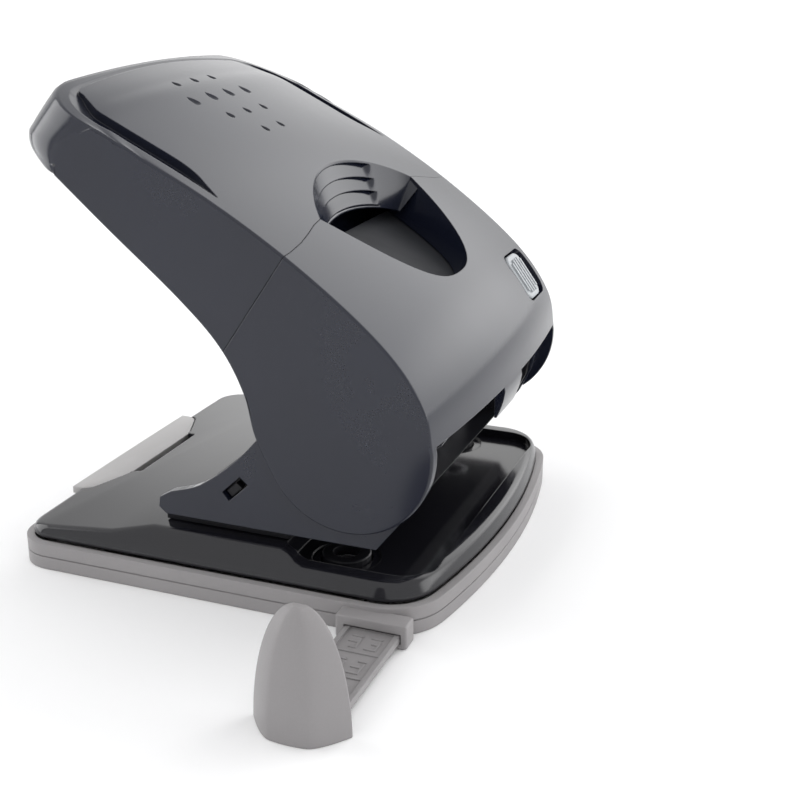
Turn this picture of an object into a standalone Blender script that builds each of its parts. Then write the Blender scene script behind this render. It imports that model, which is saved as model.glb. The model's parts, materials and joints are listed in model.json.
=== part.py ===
"""Two-hole paper punch with a hooded lever handle, a chip tray and a sliding paper guide.

The frame of the part: X runs across the punch, the paper comes in from -Y, Z is up. The origin is
on the ground, straight below the middle of the two dies. Sizes below are in millimetres, and are
turned into metres where the meshes are made.
"""

import math

import bmesh
import bpy
from mathutils import Matrix, Vector

MM = 0.001
GAP = 0.3

# --- driving sizes, in millimetres ---------------------------------------------------------------
HOLE_SPACING = 80.0
PIN_X = HOLE_SPACING / 2
PIN_R = 3.0
PIN_TIP_Z = 18.9
PIN_TOP_Z = 44.2

BASE_HALF_W = 56.5
BASE_FRONT_Y = -31.0
BASE_REAR_Y = 85.4
BASE_FRONT_BOW = 7.0
BASE_REAR_BOW = 0.4
FRONT_CORNER_R = 14.0
REAR_CORNER_R = 9.0

TRAY_H = 7.0
TRAY_FLOOR = 1.2
TRAY_WALL = 2.0
TAB_TOP_Z = 10.2

COVER_FRONT_Z = 12.0
COVER_REAR_Z = 15.2
SLOT_FLOOR_Z = 9.8
DIE_TOP_Z = 11.2
PLATE_TOP_Z = 8.2
PLATE_BOTTOM_Z = 7.0

FRAME_BOTTOM_Z = 17.9
FRAME_FOOT_Z = 15.5
FRAME_HALF_W = 47.2
FRAME_SHEET = 2.2
CHEEK_IN_X = 47.6
CHEEK_OUT_X = 50.1

PIVOT_Y = -16.5
PIVOT_Z = 43.0
SHAFT_R = 3.0
BAR_ARM = 17.4
BAR_REST_ANGLE = math.radians(15.0)
BAR_R = 3.0
BAR_Y = PIVOT_Y + BAR_ARM * math.cos(BAR_REST_ANGLE)
BAR_Z = PIVOT_Z + BAR_ARM * math.sin(BAR_REST_ANGLE)

HOOD_HALF_W = 53.0
HOOD_WALL = 2.4
HOOD_CROWN = 3.2
HOOD_LIP_Z = 46.0
ROUND_END = (-5.5, 43.0)
ROUND_END_R = 20.5
# the hood's side view, as (y, z): its upper edge from rear to front, and its open lower edge
HOOD_TOP = [
    (72.0, 117.3), (62.5, 114.0), (52.8, 110.0), (25.2, 96.1),
    (3.5, 82.4), (-14.3, 68.0), (-23.6, 55.5), (-26.0, 44.5),
]
HOOD_LOWER = [
    (11.6, 31.4), (17.2, 42.8), (19.9, 53.2), (25.5, 63.5),
    (35.3, 73.6), (53.2, 88.6), (66.0, 99.6),
]
HOOD_NOSE = [
    (66.0, 99.6), (73.5, 100.9), (78.6, 104.6), (79.7, 107.9), (78.3, 110.0), (75.2, 113.6), (72.0, 117.3),
]
# where the nose's points stand on the hood's flat sides, past the round rear corners
HOOD_NOSE_SIDE = [
    (66.0, 99.6), (65.8, 101.0), (64.6, 103.8), (62.8, 106.4), (61.2, 108.0), (58.2, 109.6), (55.0, 111.1),
]
CORNER_R = 17.0
PANEL_DEPTH = 15.0
PANEL_SHEET = 1.8

GRIP_ORIGIN = Vector((0.0, 9.0, 86.3))
GRIP_SLOPE = math.radians(33.9)
GRIP_HALF_W = 30.0
GRIP_CORNER_V = 3.0
GRIP_REAR_V = 16.0
GRIP_FRONT_V = -26.8
GRIP_TOP_W = 2.6
GRIP_FOOT_W = -6.0
GRIP_FOOT_HALF_W = 25.2
GRIP_FOOT_CORNER_V = -0.4
GRIP_FOOT_REAR_V = 6.0
FLOOR_ORIGIN = Vector((0.0, 17.1, 79.5))
FLOOR_SLOPE = math.radians(22.5)
FLOOR_SHEET = 1.6

LOCK_ORIGIN = Vector((40.0, -20.0, 63.2))
LOCK_SLOPE = math.radians(53.7)
LOCK_WINDOW = (18.8, 14.4)
LOCK_BUTTON = (10.4, 13.2)

GUIDE_Y0 = -21.4
GUIDE_Y1 = -8.1
GUIDE_Z0 = 1.5
GUIDE_Z1 = 3.3
GUIDE_INNER_X = 12.0
SLEEVE_X = -60.5
STOP_BACK_X = -95.2
STOP_BULGE = 7.2
STOP_HALF_W = 11.0
STOP_H = 28.0
STOP_Y = -13.6

DARK = (0.035, 0.038, 0.048)
BLACK = (0.008, 0.008, 0.011)
GREY = (0.26, 0.25, 0.255)
PALE = (0.38, 0.40, 0.42)
STEEL = (0.55, 0.56, 0.58)
SPRING_STEEL = (0.42, 0.42, 0.44)
PAINT = (0.014, 0.014, 0.016)


# --- the scene, its collections and its materials ------------------------------------------------
def empty_scene():
    for obj in list(bpy.data.objects):
        bpy.data.objects.remove(obj, do_unlink=True)


def collection(name):
    made = bpy.data.collections.new(name)
    bpy.context.scene.collection.children.link(made)
    return made


empty_scene()
PARTS = collection("hole_punch")
CUTTERS = collection("cutters")


def material(name, color, roughness, metallic=0.0):
    mat = bpy.data.materials.new(name)
    mat.use_nodes = True
    shader = mat.node_tree.nodes["Principled BSDF"]
    shader.inputs["Base Color"].default_value = (*color, 1.0)
    shader.inputs["Roughness"].default_value = roughness
    shader.inputs["Metallic"].default_value = metallic
    return mat


# --- outlines ------------------------------------------------------------------------------------
def fillet(points, radii, steps=4):
    """A closed outline with its corners rounded; a radius of 0 leaves a corner as it is."""
    out = []
    count = len(points)
    for i, point in enumerate(points):
        here = Vector(point)
        radius = radii[i] if isinstance(radii, (list, tuple)) else radii
        if radius <= 0:
            out.append((here.x, here.y))
            continue
        back = (Vector(points[i - 1]) - here).normalized()
        ahead = (Vector(points[(i + 1) % count]) - here).normalized()
        half = back.angle(ahead) / 2
        centre = here + (back + ahead).normalized() * (radius / math.sin(half))
        start = here + back * (radius / math.tan(half)) - centre
        end = here + ahead * (radius / math.tan(half)) - centre
        sweep = start.angle_signed(end)
        for k in range(steps + 1):
            turned = start.copy()
            turned.rotate(Matrix.Rotation(-sweep * k / steps, 2))
            out.append((centre.x + turned.x, centre.y + turned.y))
    return out


def spline(points, per_span=4):
    """Points along a smooth curve through the given ones, both ends included."""
    knots = [Vector(p) for p in points]
    ends = [2 * knots[0] - knots[1]] + knots + [2 * knots[-1] - knots[-2]]
    out = []
    for a, b, c, d in zip(ends, ends[1:], ends[2:], ends[3:]):
        for k in range(per_span):
            t = k / per_span
            square = (2 * a - 5 * b + 4 * c - d) * t * t
            cubic = (3 * b - a - 3 * c + d) * t ** 3
            place = 0.5 * (2 * b + (c - a) * t + square + cubic)
            out.append((place.x, place.y))
    out.append((knots[-1].x, knots[-1].y))
    return out


def arc(centre, radius, start, end, steps):
    return [
        (centre[0] + radius * math.cos(start + (end - start) * k / steps),
         centre[1] + radius * math.sin(start + (end - start) * k / steps))
        for k in range(steps + 1)
    ]


def rounded_box(width, height, radius):
    x = width / 2
    y = height / 2
    return fillet([(-x, -y), (x, -y), (x, y), (-x, y)], radius)


def base_outline(inset, bow_steps=3):
    """The footprint in plan, bowed at the front and the rear."""
    half = BASE_HALF_W - inset
    front = BASE_FRONT_Y + inset
    rear = BASE_REAR_Y - inset
    points = []
    radii = []
    for k in range(-bow_steps, bow_steps + 1):
        share = k / bow_steps
        points.append((half * share, front + BASE_FRONT_BOW * share * share))
        radii.append(FRONT_CORNER_R - inset if abs(k) == bow_steps else 0)
    for k in range(bow_steps, -bow_steps - 1, -1):
        share = k / bow_steps
        points.append((half * share, rear - BASE_REAR_BOW * share * share))
        radii.append(REAR_CORNER_R - inset if abs(k) == bow_steps else 0)
    return fillet(points, radii)


def grip_outline(grow=0.0, half_w=GRIP_HALF_W, corner_v=GRIP_CORNER_V, rear_v=GRIP_REAR_V):
    """The finger opening: a flat round rear edge, and sides that close to a round front end."""
    half = half_w + grow
    rise = rear_v - corner_v + grow
    radius = (half * half + rise * rise) / (2 * rise)
    lean = math.asin(half / radius)
    rear = arc((0.0, rear_v + grow - radius), radius, math.pi / 2 - lean, math.pi / 2 + lean, 12)
    depth = corner_v - GRIP_FRONT_V + grow
    front = []
    for k in range(1, 14):
        u = -half * math.cos(math.pi * k / 14)
        front.append((u, corner_v - depth * (1 - abs(u / half) ** 2.6)))
    return rear + front


# --- meshes --------------------------------------------------------------------------------------
def keep(name, mesh, mat=None, where=None):
    """An object for a mesh in millimetres; without a material it is a cutter."""
    mesh.transform(Matrix.Scale(MM, 4))
    mesh.name = name
    obj = bpy.data.objects.new(name, mesh)
    if mat is None:
        CUTTERS.objects.link(obj)
        obj.hide_render = True
        obj.display_type = "WIRE"
    else:
        PARTS.objects.link(obj)
        obj.data.materials.append(mat)
        obj.data.shade_smooth()
        obj.data.set_sharp_from_angle(angle=math.radians(35))
    if where is not None:
        obj.location = Vector(where) * MM
    return obj


def prism_mesh(outline, low, high, frame=Matrix.Identity(4)):
    """A flat outline extruded from low to high along its own Z, then set in the given frame."""
    curve = bpy.data.curves.new("outline", "CURVE")
    curve.dimensions = "2D"
    curve.fill_mode = "BOTH"
    curve.extrude = (high - low) / 2
    line = curve.splines.new("POLY")
    line.points.add(len(outline) - 1)
    for point, (x, y) in zip(line.points, outline):
        point.co = (x, y, 0.0, 1.0)
    line.use_cyclic_u = True
    obj = bpy.data.objects.new("outline", curve)
    CUTTERS.objects.link(obj)
    depsgraph = bpy.context.evaluated_depsgraph_get()
    mesh = bpy.data.meshes.new_from_object(obj.evaluated_get(depsgraph))
    bpy.data.objects.remove(obj, do_unlink=True)
    bm = bmesh.new()
    bm.from_mesh(mesh)
    bmesh.ops.remove_doubles(bm, verts=bm.verts, dist=0.001)
    bmesh.ops.recalc_face_normals(bm, faces=bm.faces)
    lift = Matrix.Translation((0, 0, (low + high) / 2))
    bmesh.ops.transform(bm, matrix=frame @ lift, verts=bm.verts)
    bm.to_mesh(mesh)
    bm.free()
    return mesh


# local x, y and z of an outline drawn in the side view become the part's y, z and x
SIDE_VIEW = Matrix(((0, 0, 1, 0), (1, 0, 0, 0), (0, 1, 0, 0), (0, 0, 0, 1)))


def plan_prism(name, outline, low, high, mat=None):
    return keep(name, prism_mesh(outline, low, high), mat)


def side_prism(name, outline, low, high, mat=None):
    return keep(name, prism_mesh(outline, low, high, SIDE_VIEW), mat)


def box(name, low, high, mat=None):
    bm = bmesh.new()
    bmesh.ops.create_cube(bm, size=1.0)
    size = Matrix.Diagonal((*(Vector(high) - Vector(low)), 1.0))
    middle = Matrix.Translation((Vector(high) + Vector(low)) / 2)
    bmesh.ops.transform(bm, matrix=middle @ size, verts=bm.verts)
    mesh = bpy.data.meshes.new(name)
    bm.to_mesh(mesh)
    bm.free()
    return keep(name, mesh, mat)


def rod(name, radius, start, end, mat=None, sides=24):
    bm = bmesh.new()
    span = Vector(end) - Vector(start)
    bmesh.ops.create_cone(
        bm, cap_ends=True, segments=sides, radius1=radius, radius2=radius, depth=span.length)
    turn = Vector((0, 0, 1)).rotation_difference(span).to_matrix().to_4x4()
    middle = (Vector(start) + Vector(end)) / 2
    bmesh.ops.transform(bm, matrix=Matrix.Translation(middle) @ turn, verts=bm.verts)
    mesh = bpy.data.meshes.new(name)
    bm.to_mesh(mesh)
    bm.free()
    return keep(name, mesh, mat)


def tapered_prism(name, low_outline, high_outline, low, high, mat=None):
    bm = bmesh.new()
    bottom = [bm.verts.new((x, y, low)) for x, y in low_outline]
    top = [bm.verts.new((x, y, high)) for x, y in high_outline]
    for i in range(len(bottom)):
        j = (i + 1) % len(bottom)
        bm.faces.new((bottom[i], bottom[j], top[j], top[i]))
    bm.faces.new(bottom)
    bm.faces.new(top)
    bmesh.ops.recalc_face_normals(bm, faces=bm.faces)
    mesh = bpy.data.meshes.new(name)
    bm.to_mesh(mesh)
    bm.free()
    return keep(name, mesh, mat)


def turned(name, profile, mat, where, steps=24):
    """A shape turned about its own Z from a closed or axis-to-axis profile of (radius, z)."""
    bm = bmesh.new()
    verts = [bm.verts.new((r * MM, 0.0, z * MM)) for r, z in profile]
    for a, b in zip(verts, verts[1:]):
        bm.edges.new((a, b))
    if profile[0][0] > 0:
        bm.edges.new((verts[-1], verts[0]))
    mesh = bpy.data.meshes.new(name)
    bm.to_mesh(mesh)
    bm.free()
    obj = bpy.data.objects.new(name, mesh)
    PARTS.objects.link(obj)
    obj.data.materials.append(mat)
    obj.location = Vector(where) * MM
    screw = obj.modifiers.new("turn", "SCREW")
    screw.steps = steps
    screw.render_steps = steps
    screw.use_merge_vertices = True
    screw.merge_threshold = 0.00001
    screw.use_smooth_shade = True
    return obj


def boolean(obj, operation, other, solver="EXACT"):
    mod = obj.modifiers.new(operation.lower(), "BOOLEAN")
    mod.operation = operation
    mod.object = other
    mod.solver = solver


def cut(obj, *others, solver="EXACT"):
    for other in others:
        boolean(obj, "DIFFERENCE", other, solver)


def join(obj, *others, solver="EXACT"):
    for other in others:
        boolean(obj, "UNION", other, solver)


def round_edges(obj, width, segments=2, degrees=40.0):
    mod = obj.modifiers.new("round", "BEVEL")
    mod.width = width * MM
    mod.segments = segments
    mod.limit_method = "ANGLE"
    mod.angle_limit = math.radians(degrees)


# --- the hood's surfaces -------------------------------------------------------------------------
def outward(points):
    """The normals of an open run of (y, z) points, to the right of its direction of travel."""
    out = []
    for i, here in enumerate(points):
        before = Vector(points[max(i - 1, 0)])
        after = Vector(points[min(i + 1, len(points) - 1)])
        along = (after - before).normalized()
        out.append(Vector((along.y, -along.x)))
    return out


def hood_run(depth, first=0.0, last=1.0):
    """The hood's upper edge, rear to front, moved inwards by depth, with its outward normals."""
    run = spline(HOOD_TOP, 5)
    normals = outward(run)
    count = len(run) - 1
    picked = range(round(first * count), round(last * count) + 1)
    return [(Vector(run[i]) - normals[i] * depth, normals[i]) for i in picked]


def on_side(point):
    """Where a point of the hood's upper edge stands on the flat sides, past the rear corners."""
    start, end = HOOD_TOP[3][0], HOOD_TOP[0][0]
    if point.x <= start:
        return point
    y = start + (point.x - start) * (HOOD_NOSE_SIDE[-1][0] - start) / (end - start)
    knots = HOOD_TOP[:4]
    for (y1, z1), (y0, z0) in zip(knots, knots[1:]):
        if y >= y0:
            slope = (z1 - z0) / (y1 - y0)
            return Vector((y, z0 + (y - y0) * slope + point.y - upper_z(point.x)))
    return point


def upper_z(y):
    for (y1, z1), (y0, z0) in zip(HOOD_TOP, HOOD_TOP[1:]):
        if y >= y0:
            return z0 + (y - y0) * (z1 - z0) / (y1 - y0)
    return HOOD_TOP[-1][1]


def hood_side():
    """The hood's side view, closed: (point, the same on the flat side, normal, share of crown)."""
    loop = [(point, on_side(point), normal, 1.0) for point, normal in hood_run(0.0)]
    for point in arc(ROUND_END, ROUND_END_R, math.radians(180.0), math.radians(325.0), 14):
        normal = (Vector(point) - Vector(ROUND_END)).normalized()
        share = max(0.0, 1.0 - (HOOD_TOP[-1][1] - point[1]) / 12.0)
        loop.append((Vector(point), Vector(point), normal, share))
    for point in spline(HOOD_LOWER, 3)[:-1]:
        loop.append((Vector(point), Vector(point), Vector((0, 0)), 0.0))
    nose = spline(HOOD_NOSE, 3)[:-1]
    nose_side = spline(HOOD_NOSE_SIDE, 3)[:-1]
    for i, (point, beside) in enumerate(zip(nose, nose_side)):
        away = (Vector(point) - Vector((66.0, 108.0))).normalized()
        loop.append((Vector(point), Vector(beside), away, 0.8 * i / len(nose)))
    return loop


def cavity_side():
    """What is hollowed out of the hood between its side walls, with its underside left open."""
    inner = [(point, normal) for point, normal in hood_run(HOOD_WALL) if point.y > HOOD_LIP_Z]
    loop = [(point, on_side(point), normal, 1.0) for point, normal in inner]
    corner = Vector((loop[-1][0].x, HOOD_LIP_Z))
    loop.append((corner, corner, loop[-1][2], 1.0))
    below = [(-45.0, HOOD_LIP_Z), (-45.0, 10.0), (62.0, 10.0), (62.0, 101.2)]
    below += [(72.5, 103.6), (76.4, 107.2), (73.4, 111.6)]
    beside = below[:2] + [(60.0, 10.0), (60.0, 101.2), (61.5, 103.2), (60.2, 105.4), (56.6, 108.0)]
    for point, side in zip(below, beside):
        loop.append((Vector(point), Vector(side), Vector((0, 0)), 0.0))
    return loop


def crowned_loft(name, loop, half_width, mat=None):
    """A side view swept across X: crowned towards the middle, drawn in round the rear corners."""
    flat = HOOD_HALF_W - CORNER_R
    radius = half_width - flat
    stations = [(0.0, 0.0), (flat * 0.5, 0.0), (flat, 0.0)]
    for degrees in (15, 30, 45, 60, 75, 90):
        angle = math.radians(degrees)
        stations.append((flat + radius * math.sin(angle), 1 - math.cos(angle)))
    stations = [(-x, drawn) for x, drawn in reversed(stations[1:])] + stations
    bm = bmesh.new()
    rings = []
    for x, drawn in stations:
        crown = HOOD_CROWN * (1 - (x / HOOD_HALF_W) ** 2)
        ring = []
        for point, beside, normal, share in loop:
            place = point.lerp(beside, drawn) + normal * crown * share
            ring.append(bm.verts.new((x, place.x, place.y)))
        rings.append(ring)
    for left, right in zip(rings, rings[1:]):
        for i in range(len(left)):
            j = (i + 1) % len(left)
            bm.faces.new((left[i], left[j], right[j], right[i]))
    ends = [bm.faces.new(rings[0]), bm.faces.new(rings[-1])]
    bmesh.ops.triangulate(bm, faces=ends)
    bmesh.ops.recalc_face_normals(bm, faces=bm.faces)
    mesh = bpy.data.meshes.new(name)
    bm.to_mesh(mesh)
    bm.free()
    return keep(name, mesh, mat)


def tilted(origin, slope):
    """A frame on the hood: local x across, local y up the slope, local z out of the hood."""
    along = Vector((0, math.cos(slope), math.sin(slope)))
    out = Vector((0, -math.sin(slope), math.cos(slope)))
    frame = Matrix.Identity(4)
    for row in range(3):
        frame[row][1] = along[row]
        frame[row][2] = out[row]
        frame[row][3] = origin[row]
    return frame


def side_frame(origin, slope):
    """Local x up the slope, local y out of it, local z across: for outlines seen from the side."""
    frame = tilted(origin, slope)
    return Matrix([(row[1], row[2], row[0], row[3]) for row in frame])


GRIP = tilted(GRIP_ORIGIN, GRIP_SLOPE)
LOCK = tilted(LOCK_ORIGIN, LOCK_SLOPE)


def grip_prism(name, outline, low, high):
    return keep(name, prism_mesh(outline, low, high, GRIP))


def grip_funnel(name, grow, low, high):
    """The rear of the finger opening, whose wall leans in towards its foot."""
    top = grip_outline(grow, GRIP_HALF_W + 0.5)
    foot = grip_outline(grow, GRIP_FOOT_HALF_W, GRIP_FOOT_CORNER_V, GRIP_FOOT_REAR_V)
    rings = []
    for level in (low, high):
        share = (level - GRIP_FOOT_W) / (GRIP_TOP_W - GRIP_FOOT_W)
        rings.append([tuple(Vector(a).lerp(Vector(b), share)) for a, b in zip(foot, top)])
    funnel = tapered_prism(name, rings[0], rings[1], low, high)
    funnel.data.transform(Matrix.Diagonal((1 / MM, 1 / MM, 1 / MM, 1)))
    funnel.data.transform(GRIP)
    funnel.data.transform(Matrix.Scale(MM, 4))
    return funnel


def hood_point(share, depth):
    """A place on the hood's upper edge, given as a share of its length, moved inwards."""
    point, normal = hood_run(depth, share, share)[0]
    return point, normal


# --- the tray and the guide ----------------------------------------------------------------------
def tab_outline(grow):
    """The tray's release tab in plan: broad at the rear edge, narrow where the slot is."""
    corners = [(-29.5, 90.0), (-29.5, 80.5), (-17.0, 75.6), (17.0, 75.6), (29.5, 80.5), (29.5, 90.0)]
    sides = [(x + math.copysign(grow, x), y - grow if y < 85 else y) for x, y in corners]
    return fillet(sides, [0, 4.0, 3.0, 3.0, 4.0, 0], 3)


def chip_tray(mat):
    tray = plan_prism("chip_tray", base_outline(0.0), 0.0, TRAY_H, mat)
    hollow = plan_prism("tray_hollow", base_outline(TRAY_WALL), TRAY_FLOOR, 30.0)
    rails = [
        box(f"guide_rail_{k}", (-60.0, y, 0.0), (53.0, y + 1.4, 3.7))
        for k, y in enumerate((GUIDE_Y0 - GAP - 1.4, GUIDE_Y1 + GAP))
    ]
    cut(hollow, *rails)
    sleeve = box("guide_sleeve", (SLEEVE_X, GUIDE_Y0 - 1.7, 0.0), (-55.5, GUIDE_Y1 + 2.4, 5.9))
    slot = box("guide_slot", (-70.0, GUIDE_Y0 - GAP, TRAY_FLOOR), (-44.0, GUIDE_Y1 + GAP, GUIDE_Z1 + 0.4))
    post = box("tab_post", (-24.0, 81.8, 0.5), (24.0, 84.2, 9.0))
    tab = plan_prism("tab_top", tab_outline(0.0), 8.4, TAB_TOP_Z)
    beyond = plan_prism("tab_limit", base_outline(0.2), 0.2, 20.0)
    boolean(tab, "INTERSECT", beyond)
    cut(tray, hollow)
    join(tray, sleeve, post, tab)
    cut(tray, slot)
    return tray


def guide_arm(mat):
    outer = STOP_BACK_X + GAP
    corners = [(outer, GUIDE_Y0), (GUIDE_INNER_X, GUIDE_Y0), (GUIDE_INNER_X, GUIDE_Y1), (outer, GUIDE_Y1)]
    arm = plan_prism("guide_arm", fillet(corners, [0, 2.0, 2.0, 0], 3), GUIDE_Z0, GUIDE_Z1, mat)
    low = (-94.0, GUIDE_Y0 + 1.2, GUIDE_Z1 - 0.5)
    high = (GUIDE_INNER_X - 3.0, GUIDE_Y1 - 1.2, 9.0)
    cut(arm, box("guide_sunk_face", low, high))
    return arm


def guide_stop(mat):
    """A bullet-shaped fin, lofted from flat-backed sections that shrink with height."""
    levels = 9
    steps = 8
    bm = bmesh.new()
    rings = []
    for k in range(levels + 1):
        z = STOP_H * math.sin(math.pi / 2 * k / levels) * 0.995
        share = math.sqrt(max(0.0, 1 - (z / STOP_H) ** 1.8))
        half = STOP_HALF_W * share
        bulge = 0.6 + (STOP_BULGE - 0.6) * share
        ring = []
        for i in range(steps + 1):
            across = -1 + 2 * i / steps
            x = STOP_BACK_X - 0.4 - bulge * (1 - across ** 2)
            ring.append(bm.verts.new((x, STOP_Y + half * across, z)))
        ring.append(bm.verts.new((STOP_BACK_X, STOP_Y + half, z)))
        ring.append(bm.verts.new((STOP_BACK_X, STOP_Y - half, z)))
        rings.append(ring)
    for low, high in zip(rings, rings[1:]):
        for i in range(len(low)):
            j = (i + 1) % len(low)
            bm.faces.new((low[i], low[j], high[j], high[i]))
    bm.faces.new(rings[0])
    bm.faces.new(rings[-1])
    bmesh.ops.recalc_face_normals(bm, faces=bm.faces)
    mesh = bpy.data.meshes.new("guide_stop")
    bm.to_mesh(mesh)
    bm.free()
    return keep("guide_stop", mesh, mat)


# --- the base ------------------------------------------------------------------------------------
def screw_places():
    return [(x, y) for y in (20.0, 38.0) for x in (-38.0, 38.0)]


def base_cover(mat):
    profile = [(-60.0, -5.0), (110.0, -5.0), (110.0, 7.6), (58.0, 12.4)]
    profile += [(46.5, COVER_REAR_Z), (12.0, COVER_REAR_Z), (9.5, 14.4), (8.0, 12.8)]
    profile += [(6.0, COVER_FRONT_Z), (-60.0, COVER_FRONT_Z)]
    cover = tapered_prism("base_cover", base_outline(1.5), base_outline(5.0), TRAY_H + GAP, 17.0, mat)
    boolean(cover, "INTERSECT", side_prism("cover_profile", profile, -80.0, 80.0))
    round_edges(cover, 1.4, 3, 50.0)
    recess = fillet([(-49.0, -23.5), (49.0, -23.5), (49.0, 12.0), (-49.0, 12.0)], [9.0, 9.0, 2.0, 2.0])
    cut(cover, plan_prism("paper_recess", recess, SLOT_FLOOR_Z, 30.0))
    low_pocket = fillet([(-50.0, -24.0), (50.0, -24.0), (50.0, 67.6), (-50.0, 67.6)], 6.0)
    cut(cover, plan_prism("plate_pocket", low_pocket, -5.0, PLATE_TOP_Z + GAP))
    high_pocket = fillet([(-44.0, 15.0), (44.0, 15.0), (44.0, 47.0), (-44.0, 47.0)], 3.0)
    cut(cover, plan_prism("frame_pocket", high_pocket, -5.0, 13.4))
    cut(cover, plan_prism("tab_notch", tab_outline(0.35), -5.0, 30.0))
    slot = fillet([(-15.0, 72.4), (15.0, 72.4), (16.5, 77.5), (-16.5, 77.5)], 0.8)
    cut(cover, plan_prism("tab_slot", slot, -5.0, 30.0))
    for side in (-1, 1):
        cut(cover, rod(f"cover_die_hole_{side}", 6.3, (side * PIN_X, 0, -5), (side * PIN_X, 0, 20)))
    for k, (x, y) in enumerate(screw_places()):
        cut(cover, rod(f"cover_screw_hole_{k}", 2.0, (x, y, -5), (x, y, 30), sides=12))
    return cover


def base_plate(mat):
    outline = fillet([(-49.0, -23.0), (49.0, -23.0), (49.0, 67.0), (-49.0, 67.0)], 5.0)
    plate = plan_prism("base_plate", outline, PLATE_BOTTOM_Z, PLATE_TOP_Z, mat)
    for side in (-1, 1):
        cut(plate, rod(f"plate_die_hole_{side}", 4.0, (side * PIN_X, 0, -5), (side * PIN_X, 0, 20)))
    for k, (x, y) in enumerate(screw_places()):
        cut(plate, rod(f"plate_screw_hole_{k}", 2.0, (x, y, -5), (x, y, 30), sides=12))
    return plate


def die(name, side, mat):
    low = PLATE_TOP_Z + GAP
    profile = [(3.3, DIE_TOP_Z), (5.7, DIE_TOP_Z), (6.0, DIE_TOP_Z - 0.3), (6.0, low), (3.6, low)]
    profile.append((3.3, low + 1.2))
    return turned(name, profile, mat, (side * PIN_X, 0, 0))


def frame_profile():
    front = [(12.0, FRAME_FOOT_Z), (45.0, FRAME_FOOT_Z), (45.0, 19.0), (41.0, 22.6)]
    rise = [(33.0, 25.8), (24.0, 33.0), (16.0, 42.0), (10.0, 43.8), (-8.0, 45.8)]
    ear = arc((PIVOT_Y, PIVOT_Z), 5.6, math.radians(70.0), math.radians(195.0), 6)
    nose = [(-20.0, 32.0), (-17.0, 25.5), (-11.0, FRAME_BOTTOM_Z), (12.0, FRAME_BOTTOM_Z)]
    return front + rise + ear + nose


def punch_frame(mat):
    frame = side_prism("punch_frame", frame_profile(), -FRAME_HALF_W, FRAME_HALF_W, mat)
    inside = FRAME_HALF_W - FRAME_SHEET
    well = [(8.5, 20.4), (13.5, 17.0), (90.0, 17.0), (90.0, 90.0), (-60.0, 90.0), (-60.0, 20.4)]
    cut(frame, side_prism("frame_well", well, -inside, inside))
    cut(frame, rod("frame_shaft_hole", SHAFT_R + GAP, (-70, PIVOT_Y, PIVOT_Z), (70, PIVOT_Y, PIVOT_Z)))
    for side in (-1, 1):
        cut(frame, rod(f"frame_guide_hole_{side}", 5.1, (side * PIN_X, 0, 10), (side * PIN_X, 0, 30)))
        near = side * (FRAME_HALF_W - 1.0)
        far = side * (CHEEK_OUT_X - 0.9)
        hook = [(25.6, 25.2), (27.0, 26.6), (24.4, 29.0), (22.9, 27.8)]
        join(frame, side_prism(f"cheek_hook_{side}", hook, min(near, far), max(near, far)))
    for k, (x, y) in enumerate(screw_places()):
        cut(frame, rod(f"frame_screw_hole_{k}", 2.0, (x, y, 5), (x, y, 30), sides=12))
    return frame


def cheek(name, side, mat):
    tail = [(-11.6, 18.2), (43.4, 18.2), (45.4, 19.8), (45.0, 22.4), (42.0, 24.2)]
    rise = spline([(42.0, 24.2), (33.8, 27.2), (24.2, 34.6), (16.0, 43.6)], 4)[1:]
    ear = arc((PIVOT_Y, PIVOT_Z), 6.4, math.radians(75.0), math.radians(195.0), 7)
    nose = [(-21.0, 33.0), (-17.4, 25.7)]
    outline = tail + rise + [(10.0, 44.3), (-7.0, 45.8)] + ear + nose
    low, high = sorted((side * CHEEK_IN_X, side * CHEEK_OUT_X))
    plate = side_prism(name, outline, low, high, mat)
    near = (side * 40, PIVOT_Y, PIVOT_Z)
    far = (side * 60, PIVOT_Y, PIVOT_Z)
    cut(plate, rod(f"{name}_shaft_hole", SHAFT_R + GAP, near, far))
    window = [(26.1, 24.3), (27.8, 26.4), (23.0, 31.0), (20.9, 29.2)]
    cut(plate, side_prism(f"{name}_window", window, side * 49 - 9, side * 49 + 9))
    return plate


def pin_guide(name, side, mat):
    bore = PIN_R + 0.15
    profile = [(bore, 26.0), (3.7, 26.0), (3.7, 22.0), (4.8, 22.0), (4.8, 18.0), (bore, 18.0)]
    return turned(name, profile, mat, (side * PIN_X, 0, 0))


def frame_screw(name, x, y, mat):
    low = 6.4
    seat = 17.0 + GAP
    head = [(0.0, seat + 1.5), (1.6, seat + 1.5), (2.9, seat + 0.9), (3.2, seat)]
    profile = head + [(1.6, seat), (1.6, low), (0.0, low)]
    return turned(name, profile, mat, (x, y, 0), 16)


def shaft_clip(name, side, mat):
    profile = [(SHAFT_R + 0.15, 0.5), (5.2, 0.5), (5.2, -0.5), (SHAFT_R + 0.15, -0.5)]
    clip = turned(name, profile, mat, (side * 44.0, PIVOT_Y, PIVOT_Z), 20)
    clip.rotation_euler = (0, math.radians(90), 0)
    return clip


# --- the pins ------------------------------------------------------------------------------------
def punch_pin(name, side, mat):
    head = PIN_TOP_Z - 1.7
    profile = [(0.0, PIN_TOP_Z), (3.6, PIN_TOP_Z), (4.0, PIN_TOP_Z - 0.4), (4.0, head), (PIN_R, head)]
    profile += [(PIN_R, PIN_TIP_Z), (PIN_R - 0.6, PIN_TIP_Z), (0.0, PIN_TIP_Z + 1.0)]
    return turned(name, profile, mat, (side * PIN_X, 0, 0))


def spring_cap(name, side, mat):
    top = PIN_TOP_Z - 1.7 - GAP
    profile = [(PIN_R + 0.15, top), (4.5, top), (4.5, top - 1.0), (PIN_R + 0.15, top - 1.0)]
    return turned(name, profile, mat, (side * PIN_X, 0, 0))


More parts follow.
